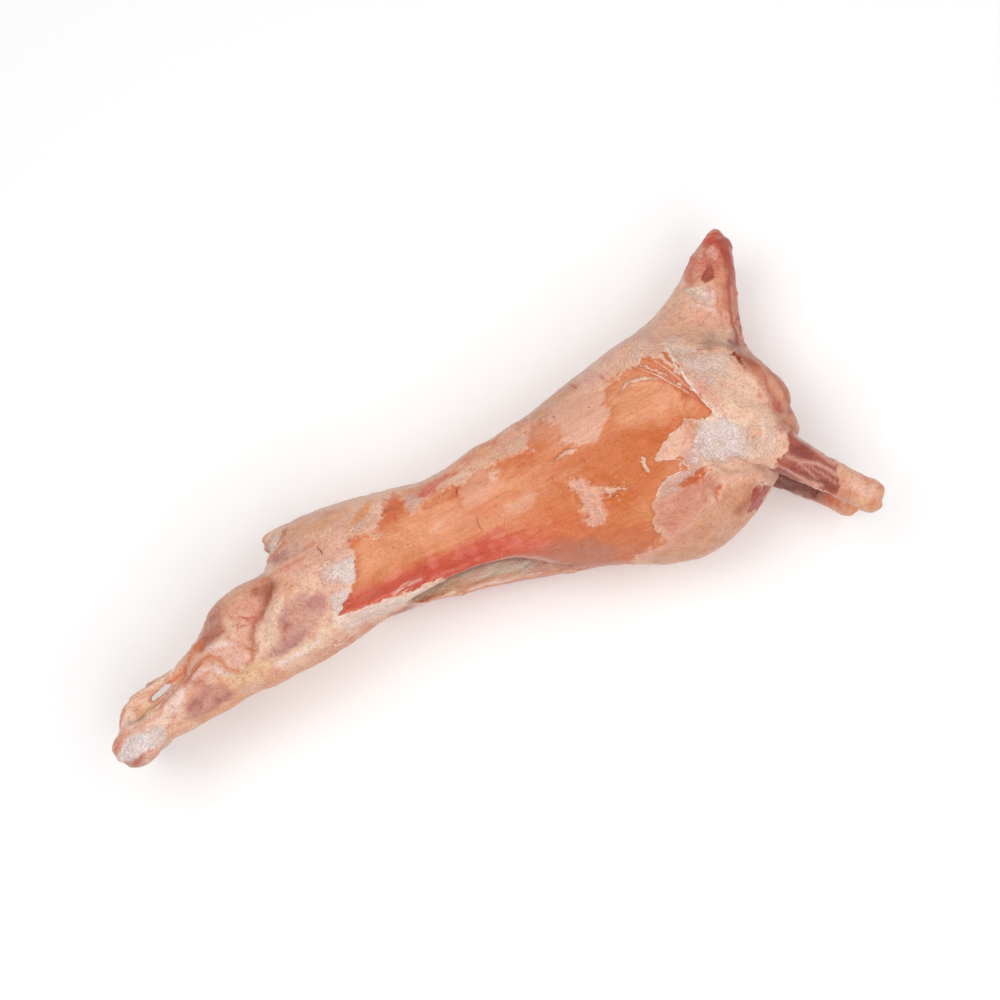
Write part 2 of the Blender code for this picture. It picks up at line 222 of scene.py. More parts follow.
# Paint on the pale cover: colour, strength, softness of the edge, outline
COVER_PATCHES = (
    (ROSE_BROWN, 0.9, 14, ((-404, 16), (-386, 40), (-362, 54), (-350, 48), (-360, 34), (-366, 24),
                           (-386, 18))),
    (TAN_BROWN, 0.7, 14, ((-362, 52), (-345, 64), (-300, 64), (-288, 52), (-300, 42), (-318, 30),
                          (-335, 24), (-352, 26))),
    (CREASE_BROWN, 0.95, 9, ((-314, 48), (-300, 47), (-284, 45), (-290, 34), (-302, 24), (-314, 30))),
    (CREAM, 0.8, 11, ((-346, -8), (-332, 8), (-312, 18), (-292, 23), (-284, 14), (-300, 5), (-306, -8),
                      (-318, -18), (-338, -22))),
    (MAUVE, 0.85, 12, ((-302, 2), (-288, 14), (-266, 17), (-246, 10), (-236, 2), (-238, -8), (-252, -16),
                       (-264, -22), (-282, -30), (-300, -35), (-324, -35), (-340, -28), (-325, -22),
                       (-306, -15))),
    (DEEP_MAUVE, 0.8, 9, ((-320, -29), (-300, -24), (-282, -22), (-284, -30), (-300, -36), (-316, -35))),
    (DEEP_MAUVE, 0.75, 9, ((-268, 5), (-252, 9), (-239, 1), (-246, -8), (-262, -6))),
    (DEEP_MAUVE, 0.5, 7, ((-306, -4), (-294, -3), (-287, -10), (-302, -13))),
    (PURPLE, 0.85, 9, ((-458, -44), (-446, -32), (-428, -25), (-410, -25), (-396, -34), (-390, -44),
                       (-398, -54), (-430, -58), (-452, -54))),
    (DEEP_PURPLE, 0.75, 7, ((-412, -44), (-398, -41), (-392, -46), (-400, -53), (-412, -50))),
    (DEEP_PURPLE, 0.6, 8, ((-447, -38), (-434, -31), (-420, -34), (-434, -44), (-442, -51))),
    (STRAW, 0.75, 13, ((-392, -28), (-375, -24), (-350, -28), (-332, -34), (-335, -46), (-360, -49),
                       (-385, -44))),
    (CREAM, 0.6, 12, ((-342, -37), (-300, -39), (-262, -30), (-240, -36), (-262, -47), (-310, -49))),
    (TAN, 0.9, 9, ((-440, -55), (-400, -57), (-330, -56), (-262, -55), (-240, -62), (-262, -90),
                   (-440, -90))),
    (RUST, 0.45, 8, ((-438, -14), (-420, -2), (-400, 4), (-389, -2), (-394, -9), (-415, -14),
                     (-432, -20))),
    (PALE_ROSE, 0.7, 9, ((-386, 12), (-366, 8), (-352, -8), (-357, -22), (-374, -22), (-382, -8))),
    (PALE_ROSE, 0.6, 10, ((-240, 22), (-228, 33), (-212, 29), (-204, 32), (-190, 34), (-184, 24),
                          (-192, 6), (-200, -4), (-207, -14), (-214, -22), (-232, -24), (-242, -14),
                          (-230, -4), (-226, 8))),
    (FROST, 0.9, 7, ((-226, 22), (-214, 27), (-192, 28), (-186, 22), (-194, 6), (-204, 0), (-214, 6))),
    (FROST, 0.8, 6, ((-234, -6), (-216, -2), (-208, -10), (-216, -20), (-228, -18))),
    (SHELL, 0.6, 9, ((-504, -30), (-470, -12), (-444, -6), (-438, -20), (-466, -34), (-500, -44))),
    (CORAL, 0.6, 4, ((-196, -57), (-160, -58.5), (-130, -61), (-128, -70), (-196, -68))),
    (FROST, 0.8, 8, ((-236, -14), (-212, -22), (-206, -32), (-160, -42), (-110, -50), (-170, -52),
                     (-236, -48), (-246, -34))),
    (PINK, 0.7, 13, ((-240, 60), (-225, 68), (-195, 62), (-186, 46), (-196, 34), (-222, 34), (-236, 44))),
    (TAN, 0.8, 13, ((-270, 100), (-200, 100), (-150, 88), (-170, 70), (-220, 72), (-262, 80))),
    (DEEP_MAUVE, 0.8, 8, ((-282, 70), (-268, 77), (-254, 71), (-256, 62), (-270, 63))),
    (BRIGHT_ORANGE, 0.85, 6, ((-179, 57), (-166, 68), (-150, 73), (-134, 75), (-147, 62), (-161, 60))),
    (VIOLET_SKIN, 0.9, 9, ((-44, -62), (-8, -69), (30, -78), (74, -90), (86, -104), (90, -138),
                           (50, -130), (0, -118), (-30, -100))),
    (LILAC, 0.95, 7, ((-548, -46), (-536, -36), (-520, -33), (-500, -40), (-480, -44), (-490, -54),
                      (-520, -60), (-545, -58))),
    (LILAC, 0.5, 7, ((-474, -34), (-458, -24), (-440, -14), (-424, -10), (-440, -24), (-462, -38))),
    (CREASE_BROWN, 0.6, 6, ((-548, -58), (-534, -55), (-520, -59), (-520, -68), (-536, -74))),
    (BLOOD, 0.6, 4, ((-538, -60), (-532, -58), (-525, -60), (-526, -66), (-535, -67))),
    (TAN, 0.6, 8, ((-500, -56), (-470, -50), (-450, -56), (-470, -62), (-500, -68), (-522, -76))),
    (STRAW, 0.5, 8, ((-500, -12), (-484, -4), (-484, -16), (-470, -20), (-490, -28), (-504, -22))),
    (RUST, 0.5, 7, ((-486, -18), (-450, -10), (-430, -2), (-436, -14), (-460, -22), (-486, -26))),
    (RED_ORANGE, 0.5, 8, ((-104, 66), (-60, 62), (0, 66), (40, 68), (36, 60), (0, 56), (-40, 53),
                          (-84, 51))),
    (RED, 0.85, 4, ((-86, 50), (-70, 57), (-40, 58), (-28, 55), (-48, 50), (-72, 46))),
    (RED, 0.8, 4, ((12, 64), (24, 69), (40, 66), (30, 62), (18, 61))),
    (RED, 0.6, 5, ((-200, 85), (-190, 89), (-177, 88), (-184, 84))),
    (BEIGE, 0.8, 8, ((250, 106), (306, 122), (330, 106), (340, 60), (330, 40), (296, 48), (262, 70))),
    # Painted shade in the crease between neck and shoulder
    (GREY_BROWN, 0.55, 9, ((300, 50), (316, 52), (330, 34), (346, 26), (340, 14), (322, 34), (306, 38))),
    (FROST, 0.75, 12, ((244, -40), (262, -32), (284, -44), (296, -70), (290, -100), (262, -92),
                       (240, -72))),
    (FROST, 0.4, 12, ((262, 72), (280, 58), (300, 36), (322, 20), (318, 0), (280, 20), (268, 40))),
    (CREAM, 0.4, 14, ((286, 0), (326, -2), (338, -30), (338, -76), (320, -104), (296, -110), (290, -60))),
    (FILM_PINK, 0.8, 5, ((72, -14), (104, -14), (114, -46), (108, -90), (70, -90))),
    (RED, 0.6, 3, ((78, -68), (80, -62), (84, -66), (82, -71))),
    (TAN, 0.6, 8, ((-20, 48), (0, 62), (60, 68), (68, 52), (30, 44))),
    (DUSKY_TAN, 0.85, 10, ((60, 82), (110, 86), (150, 90), (150, 68), (100, 62), (60, 62))),
    (CORAL, 0.35, 10, ((160, -98), (200, -92), (236, -90), (236, -102), (180, -108))),
    (DUSKY_PINK, 0.8, 12, ((150, -118), (160, -92), (176, -80), (212, -82), (240, -96), (236, -112),
                           (200, -128), (160, -132))),
    (DUSKY_TAN, 0.8, 14, ((96, -150), (150, -140), (200, -132), (244, -116), (270, -122), (282, -140),
                          (250, -170), (180, -200), (110, -180))),
    (DUSKY_TAN, 0.2, 16, ((240, 100), (300, 124), (330, 104), (344, 60), (336, 44), (300, 46),
                          (262, 76))),
    (DUSKY_PINK, 0.8, 7, ((366, -158), (374, -170), (366, -186), (376, -204), (360, -206), (344, -184),
                         (354, -176))),
    (TAN, 0.5, 10, ((372, -150), (366, -176), (352, -190), (340, -196), (356, -240), (420, -250),
                    (412, -186))),
    (SHELL, 0.3, 8, ((372, -182), (384, -184), (394, -200), (392, -212), (378, -206), (370, -194))),
    (CORAL, 0.5, 5, ((384, -180), (392, -188), (396, -198), (388, -194))),
    (RED, 0.5, 4, ((398, -202), (404, -204), (406, -212), (400, -211))),
    (STRAW, 0.6, 5, ((366, -200), (376, -204), (376, -214), (366, -212))),
    (ORANGE, 0.5, 5, ((376, -214), (390, -214), (400, -220), (392, -230), (378, -224))),
    (CORAL, 0.45, 8, ((316, 119), (345, 150), (372, 160), (392, 150), (392, 120), (372, 108),
                      (340, 112))),
    (CORAL, 0.85, 8, ((322, 122), (332, 136), (348, 152), (372, 176), (400, 160), (398, 120), (386, 92),
                      (370, 92), (374, 116), (362, 136), (340, 130))),
    (RED, 0.5, 8, ((340, 112), (350, 134), (372, 140), (372, 120), (356, 104))),
    (CORAL, 0.6, 7, ((344, 66), (354, 90), (366, 112), (376, 108), (362, 76), (352, 52))),
    (PALE_ROSE, 0.8, 4, ((360, 134), (366, 146), (374, 144), (376, 136), (368, 128))),
    (MUSCLE_RED, 0.85, 6, ((362, 88), (370, 106), (376, 128), (380, 146), (390, 152), (398, 140),
                           (392, 118), (378, 90))),
    # Dark meat of the throat's strip, with painted shade on the neck's shaded throat side
    (THROAT_BROWN, 0.6, 4, ((354, 56), (362, 76), (376, 98), (388, 124), (400, 130), (386, 88),
                            (366, 50))),
    (CORAL, 0.7, 5, ((322, 126), (330, 138), (342, 147), (350, 146), (342, 136), (334, 126))),
    (FRONT_BROWN, 0.8, 15, ((332, 12), (356, 2), (372, -30), (372, -84), (350, -102), (330, -90),
                            (339, -40))),
    # Painted shade where the neck meets the front of the shoulder
    (CREASE_BROWN, 0.6, 7, ((326, 30), (340, 40), (352, 12), (344, -10), (332, 4))),
    (SHELL, 0.7, 6, ((322, 112), (338, 108), (346, 92), (338, 80), (324, 92))),
    (PINK, 0.7, 8, ((300, 76), (330, 84), (348, 62), (344, 46), (318, 56))),
    (CREAM, 0.9, 4, ((312, 124), (320, 108), (328, 98), (336, 102), (326, 112), (320, 126))),
)
# Where white flecks of fat show: how thick, softness of the edge, outline
FLECKS = (
    (0.95, 12, ((-236, 16), (-226, 32), (-204, 32), (-184, 28), (-192, 4), (-208, -2), (-216, 4))),
    (0.9, 9, ((-242, -8), (-222, 2), (-206, -8), (-212, -24), (-234, -24))),
    (0.6, 10, ((-240, -36), (-200, -38), (-150, -46), (-110, -50), (-180, -52), (-240, -46))),
    (1, 12, ((232, -50), (252, -34), (284, -44), (296, -72), (284, -100), (258, -92), (228, -80),
             (214, -68))),
    (0.7, 14, ((258, 74), (282, 62), (300, 36), (322, 20), (318, -10), (280, 0), (266, 34))),
    (0.6, 12, ((290, -60), (318, -70), (334, -90), (318, -114), (290, -108))),
    (0.45, 7, ((78, -22), (98, -22), (106, -42), (104, -76), (92, -84), (76, -76))),
    (0.6, 5, ((104, -42), (112, -44), (144, -58), (140, -64), (112, -60))),
    (0.7, 6, ((-104, 42), (-98, 58), (-84, 58), (-82, 44), (-94, 38))),
    (0.55, 10, ((-30, 46), (20, 54), (70, 60), (120, 74), (120, 60), (60, 48), (0, 42))),
    (0.7, 7, ((-278, 78), (-270, 94), (-244, 98), (-246, 84), (-262, 78))),
    (0.8, 8, ((-546, -44), (-520, -32), (-480, -40), (-490, -56), (-540, -58))),
    (0.6, 8, ((312, 112), (318, 122), (334, 104), (348, 86), (330, 80))),
    (0.6, 9, ((196, 72), (226, 84), (256, 84), (262, 70), (230, 64))),
    (0.75, 8, ((164, -94), (176, -76), (214, -74), (236, -84), (214, -90), (186, -92))),
    (0.5, 12, ((-190, 40), (-186, 60), (-150, 66), (-150, 50), (-172, 44))),
)
# Thin marks on the pale cover: colour, strength, half width, path
COVER_MARKS = (
    (BLOOD, 0.7, 1.6, ((77, -67), (83, -68))),
    (RED, 0.6, 1.3, ((87, -38), (90, -43))),
    (RED, 0.6, 1.2, ((98, -31), (99, -35))),
    (RED, 0.5, 1.3, ((95, -58), (97, -61))),
    # Dark throat edge lines, with painted shade on the neck's throat side and where it meets the shoulder
    (THROAT_BROWN, 0.8, 1.8, ((341, 26), (346, 46), (355, 70), (366, 92), (377, 112))),
    (THROAT_BROWN, 0.6, 1.8, ((334, 34), (340, 26), (345, 20))),
    (MUSCLE_RED, 0.6, 3, ((342, 28), (346, 36))),
    (MUSCLE_RED, 0.7, 4, ((342, -58), (344, -70))),
    (MUSCLE_RED, 0.6, 2, ((349, -22), (344, -42), (346, -62))),
    (MUSCLE_RED, 0.55, 1.8, ((355, -14), (359, -36), (357, -60), (354, -78))),
    (MUSCLE_RED, 0.4, 2.2, ((341, -84), (348, -78), (354, -70))),
    (MUSCLE_RED, 0.6, 2.2, ((342, -98), (346, -88), (340, -80))),
    # A painted light patch on the front of the shoulder, lighter to make up for its shade
    (TAN, 0.6, 5, ((344, -76), (347, -86))),
    (TAN, 0.5, 2.2, ((350, -8), (351, -34), (352, -60))),
    # Painted shade where the neck meets the shoulder, over dark meat
    (THROAT_BROWN, 0.35, 3, ((338, 26), (336, 12), (340, -2), (346, -12))),
    (ROSE_BROWN, 0.7, 2.4, ((-404, 18), (-392, 24), (-380, 22), (-366, 24))),
    (ROSE_BROWN, 0.6, 2.2, ((-344, -10), (-338, 2), (-330, 14), (-318, 22))),
    (ROSE_BROWN, 0.55, 2.2, ((-350, -8), (-346, -16), (-350, -23), (-360, -26))),
    (ROSE_BROWN, 0.5, 2, ((-306, -12), (-298, -8), (-290, -10))),
    (ROSE_BROWN, 0.5, 2.4, ((-448, -38), (-436, -34), (-430, -40), (-436, -46))),
    (LILAC, 0.6, 2.6, ((-394, 12), (-380, 12), (-366, 8), (-356, 2))),
    (LILAC, 0.5, 2.4, ((-388, -26), (-396, -10), (-410, -6), (-430, -10))),
    (LILAC, 0.5, 2.4, ((-330, -44), (-300, -45), (-270, -42))),
    (RUST, 0.6, 2, ((-262, -56), (-254, -50), (-246, -56), (-238, -52))),
    (RUST, 0.5, 1.8, ((-232, -58), (-214, -52), (-190, -56), (-176, -53))),
    (RUST, 0.5, 2, ((-296, 66), (-282, 72), (-268, 78), (-252, 80))),
    (RUST, 0.45, 2, ((-264, 64), (-240, 62), (-222, 64))),
    (RUST, 0.45, 2, ((-300, 53), (-270, 54), (-240, 52))),
    (CREAM, 0.7, 2, ((-270, 92), (-258, 95), (-244, 95))),
    (MUSCLE_RED, 0.8, 1.7, ((-270, 87), (-256, 90), (-244, 91))),
    (MUSCLE_RED, 0.6, 1.5, ((-274, 81), (-258, 84), (-246, 88))),
    (CORAL, 0.6, 2.4, ((330, 118), (338, 130), (346, 140))),
    (PALE_ROSE, 0.7, 2.2, ((352, 136), (360, 146), (372, 146))),
    (MUSCLE_RED, 0.6, 2.2, ((338, 140), (344, 142))),
    (SHELL, 0.6, 2.2, ((318, 92), (326, 84), (336, 74))),
    (RUST, 0.5, 2, ((-548, -40), (-536, -24), (-522, -8), (-514, 0))),
    (RUST, 0.45, 2, ((-516, -26), (-498, -30), (-480, -28), (-468, -20))),
    (RUST, 0.45, 2, ((-494, -50), (-476, -44), (-462, -36))),
    (FILM_PINK, 0.6, 3, ((262, 92), (282, 84), (300, 78), (318, 76))),
    (TAN_BROWN, 0.6, 3, ((268, 50), (282, 42), (296, 36))),
    (TAN_BROWN, 0.5, 3, ((254, -84), (266, -94), (276, -106))),
    (CORAL, 0.6, 2.4, ((346, 50), (356, 74), (368, 98), (377, 116))),
    (CORAL, 0.4, 2, ((338, 62), (346, 84), (354, 100))),
    (CORAL, 0.5, 2, ((318, 116), (330, 114), (340, 118))),
    (CREASE_BROWN, 0.6, 5, ((-290, 47), (-305, 30), (-328, 16), (-340, 0), (-342, -8))),
    (RUST, 0.75, 3, ((-437, -15), (-420, -3), (-405, 4), (-392, 4), (-385, -6), (-382, -18),
                     (-373, -26))),
    (RUST, 0.5, 2.5, ((-364, 12), (-352, -6), (-349, -20), (-360, -25))),
    (RED, 0.7, 1.4, ((-341, 29), (-336, 22), (-326, 20))),
    (RED, 0.6, 1.2, ((-221, 57), (-218, 48))),
    (BLOOD, 0.7, 3, ((-183, 45), (-180, 43))),
    (RED_ORANGE, 0.7, 2.5, ((-450, 1), (-430, 4), (-410, 17), (-396, 24))),
    (CREAM, 0.8, 2, ((-508, 6), (-480, 5), (-450, 7), (-424, 13))),
    (RED, 0.35, 1.6, ((-552, -44), (-540, -33), (-523, -27))),
    (GREY_BROWN, 0.6, 2.5, ((-518, -18), (-508, -20), (-498, -22))),
    (CREAM, 0.8, 2.5, ((-272, 82), (-258, 87), (-248, 92))),
    (CREAM, 0.7, 2, ((-272, 79), (-256, 82))),
    (RED_ORANGE, 0.6, 1.5, ((-272, 76), (-250, 80))),
    (BLOOD, 0.6, 1.8, ((142, 80), (145, 73))),
    (BLOOD, 0.6, 1.8, ((146, 46), (148, 45))),
    (BLOOD, 0.55, 2, ((178, 70), (179, 66))),
    (GREY_BROWN, 0.5, 2.5, ((103, 58), (106, 53))),
    (BLOOD, 0.4, 1.5, ((112, 28), (113, 25))),
    (BLOOD, 0.4, 3, ((270, -16), (262, -20))),
    (RED_ORANGE, 0.5, 2.5, ((300, -80), (312, -79))),
    (CREASE_BROWN, 0.5, 2, ((262, -84), (278, -100), (292, -122))),
    (RED, 0.5, 3, ((332, -44), (333, -40))),
    (RED, 0.6, 1.8, ((182, -170), (184, -169))),
    (CREASE_BROWN, 0.6, 4, ((240, -150), (262, -140))),
    (FROST, 0.8, 2, ((262, 62), (263, 34), (268, 0), (273, -24), (279, -42))),
    (RUST, 0.4, 2.2, ((-430, 10), (-470, 2), (-500, 3))),
)

# The red band above the open belly, which is also the wettest part
RED_BAND = ((-246, -28), (-212, -12), (-170, -15), (-120, -19), (-60, -25), (-20, -29), (10, -42),
            (42, -64), (52, -86), (20, -94), (-20, -76), (-60, -64), (-110, -54), (-160, -46),
            (-215, -34))
# Paint on the bare sheet and the bare meat: colour, strength, softness of the edge, outline
BARE_PATCHES = (
    (RED, 0.95, 13, RED_BAND),
    (DEEP_RED, 0.6, 9, ((-200, -24), (-150, -24), (-90, -31), (-40, -38), (-30, -54), (-70, -54),
                        (-120, -46), (-170, -37))),
    (RED_ORANGE, 0.75, 18, ((-20, -32), (30, -36), (72, -62), (84, -92), (54, -96), (10, -62))),
    (DEEP_ORANGE, 0.9, 15, ((76, 0), (120, 8), (150, 2), (176, -4), (226, -24), (180, -45), (200, -60),
                            (172, -76), (140, -84), (110, -76), (112, -40), (98, -20))),
    (RUST, 0.55, 14, ((80, -95), (120, -102), (150, -115), (145, -137), (104, -142), (80, -126))),
    (PALE_ORANGE, 0.75, 18, ((172, 6), (172, 34), (186, 60), (225, 60), (246, 22), (262, -14),
                             (225, -8))),
    (VIOLET_SKIN, 0.9, 16, ((-44, -62), (-8, -69), (30, -78), (74, -90), (86, -104), (90, -138),
                            (50, -130), (0, -118), (-30, -100))),
    (PALE_ORANGE, 0.65, 20, ((-190, 0), (-180, 36), (-60, 38), (-40, 0), (-100, -9))),
    (FILM_PINK, 0.75, 10, ((-40, 12), (-38, 34), (-28, 42), (-4, 42), (16, 32), (14, 16), (-14, 8))),
    (FILM_PINK, 0.6, 8, ((-20, 44), (-10, 52), (20, 60), (50, 64), (62, 56), (56, 42), (20, 42))),
    (BEIGE, 0.4, 8, ((-6, -16), (10, -8), (32, -8), (40, -16), (22, -26), (4, -26))),
    (BEIGE, 0.4, 6, ((-90, 8), (-80, 12), (-72, 8), (-80, 4))),
    (PALE_ROSE, 0.1, 20, ((-60, 2), (0, -3), (50, 0), (62, -16), (20, -28), (-20, -22), (-60, -14))),
    (RED_ORANGE, 0.85, 7, ((-152, 43), (-137, 57), (-126, 66), (-110, 68), (-98, 60), (-104, 44),
                           (-128, 41))),
    (FILM_PINK, 0.55, 18, ((58, 66), (64, 44), (84, 26), (110, 16), (110, 70), (62, 76))),
    (VEIL, 0.95, 5, ((98, 62), (100, 36), (106, 14), (128, 5), (148, 11), (162, 26), (176, 52), (180, 64),
                     (150, 76), (100, 80))),
    (RED_ORANGE, 0.5, 5, ((230, 62), (246, 36), (262, 0), (272, -28), (262, -20), (248, 12), (232, 44))),
    (BURGUNDY, 1, 6, ((286, -112), (340, -84), (372, -110), (404, -190), (376, -214), (330, -180),
                      (288, -142))),
    (DARK_MEAT, 0.9, 4, ((330, -116), (340, -111), (351, -114), (356, -130), (352, -138), (344, -136),
                         (336, -128))),
    (DARK_MEAT, 0.9, 4, ((320, -128), (330, -134), (342, -146), (354, -160), (362, -172), (360, -181),
                         (350, -178), (338, -164), (328, -147))),
    (DARK_MEAT, 0.7, 4, ((338, -138), (348, -143), (358, -155), (364, -168), (354, -160), (343, -148))),
    (DARK_MEAT, 0.6, 4, ((300, -128), (310, -130), (322, -148), (332, -164), (324, -160), (308, -142))),
    (BURGUNDY, 1, 4, ((332, 100), (336, 134), (384, 140), (374, 110), (350, 100))),
    (DEEP_RED, 0.8, 4, ((352, 142), (360, 170), (410, 166), (396, 138), (366, 140))),
    (CORAL, 1, 6, ((330, 10), (340, 46), (352, 76), (374, 120), (384, 142), (410, 136), (394, 84),
                   (362, 10))),
    # Dark meat of the throat, with painted shade on the neck's shaded throat side
    (THROAT_BROWN, 0.9, 4, ((349, 18), (360, 46), (371, 72), (386, 104), (395, 128), (410, 130),
                            (390, 84), (360, 10))),
    (FRONT_BROWN, 0.9, 5, ((330, 8), (356, 4), (374, -30), (374, -80), (350, -102), (328, -86),
                           (336, -40))),
    (RED, 0.35, 5, ((346, -10), (352, -14), (358, -40), (352, -60), (347, -36))),
    (BURGUNDY, 0.5, 5, ((352, -20), (358, -30), (368, -60), (366, -92), (356, -90), (358, -60))),
    (MUSCLE_RED, 1, 4, ((244, -162), (256, -134), (292, -130), (292, -146), (262, -166))),
    # Dark meat where the neck meets the shoulder, with painted shade in that crease
    (THROAT_BROWN, 1, 3, ((318, 26), (322, 0), (340, -8), (342, 8), (330, 26))),
    (RED_ORANGE, 1, 5, ((184, -80), (240, -78), (246, -104), (218, -130), (186, -100))),
)
# Thin marks on them: colour, strength, half width, path
BARE_MARKS = (
    (CREASE_BROWN, 0.6, 1.3, ((67, -7), (68, -12))),
    (CREASE_BROWN, 0.6, 1.4, ((65, -32), (67, -35))),
    (CREASE_BROWN, 0.5, 1.2, ((48, -40), (49, -43))),
    (CREASE_BROWN, 0.6, 1.2, ((45, -54), (46, -57))),
    (CREASE_BROWN, 0.5, 1.1, ((41, 4), (43, 2))),
    (PALE_ORANGE, 0.7, 2, ((0, -14), (16, -11), (34, -16))),
    (PALE_ORANGE, 0.7, 2, ((4, -22), (20, -26), (36, -20))),
    (PALE_ORANGE, 0.6, 2, ((-60, 6), (-20, 11), (20, 8))),
    (PALE_ORANGE, 0.5, 1.8, ((-30, 18), (0, 14), (30, 10), (60, 12))),
    (PALE_ORANGE, 0.5, 1.8, ((-130, -12), (-80, -16), (-40, -20), (0, -27))),
    (PALE_ORANGE, 0.4, 1.8, ((-30, -36), (10, -42), (40, -52))),
    (RED_ORANGE, 0.6, 2.4, ((-182, 44), (-176, 40), (-160, 42), (-146, 40))),
    # A painted highlight on the wet red band
    (SHELL, 0.35, 2, ((-166, -37), (-150, -34), (-140, -37), (-128, -38))),
    (CREASE_BROWN, 0.6, 1.6, ((-43, 29), (-42, 34), (-37, 37))),
    (CREASE_BROWN, 0.4, 1.2, ((-34, -5), (-38, -15), (-36, -22))),
    (RED, 0.5, 2, ((-120, 46), (-121, 38))),
    (CREASE_BROWN, 0.35, 1.4, ((-151, 4), (-150, -2))),
    (PALE_ROSE, 0.8, 2.2, ((324, -120), (336, -134), (350, -144), (358, -156), (364, -168))),
    (PALE_ROSE, 0.8, 2.1, ((310, -122), (320, -142), (330, -158), (342, -170))),
    (PALE_ROSE, 0.8, 2.8, ((346, -102), (355, -122), (361, -140), (368, -156))),
    (PALE_ROSE, 0.5, 1.4, ((332, -134), (337, -146), (342, -160))),
    (PALE_ROSE, 0.5, 1.4, ((341, -143), (350, -158), (358, -175))),
    (CREASE_BROWN, 0.5, 2.4, ((-112, 50), (-124, 56), (-134, 52))),
    (RED_ORANGE, 0.5, 2, ((216, 60), (236, 42), (252, 14), (264, -14))),
    (CORAL, 0.6, 2, ((224, 60), (242, 38), (256, 10), (268, -16))),
    (CORAL, 0.6, 2, ((236, 62), (249, 38), (262, 6), (270, -20))),
    (CORAL, 0.5, 2, ((186, 43), (206, 47), (224, 42), (240, 30))),
    (RED_ORANGE, 0.4, 2.4, ((240, 8), (230, -8), (226, -22))),
    (RED_ORANGE, 0.4, 2, ((70, -12), (72, -30))),
    (CREASE_BROWN, 0.35, 1.5, ((110, -4), (111, -12))),
    (RED, 0.5, 2, ((45, -36), (52, -40))),
    (RED, 0.5, 2, ((42, -54), (47, -58))),
)

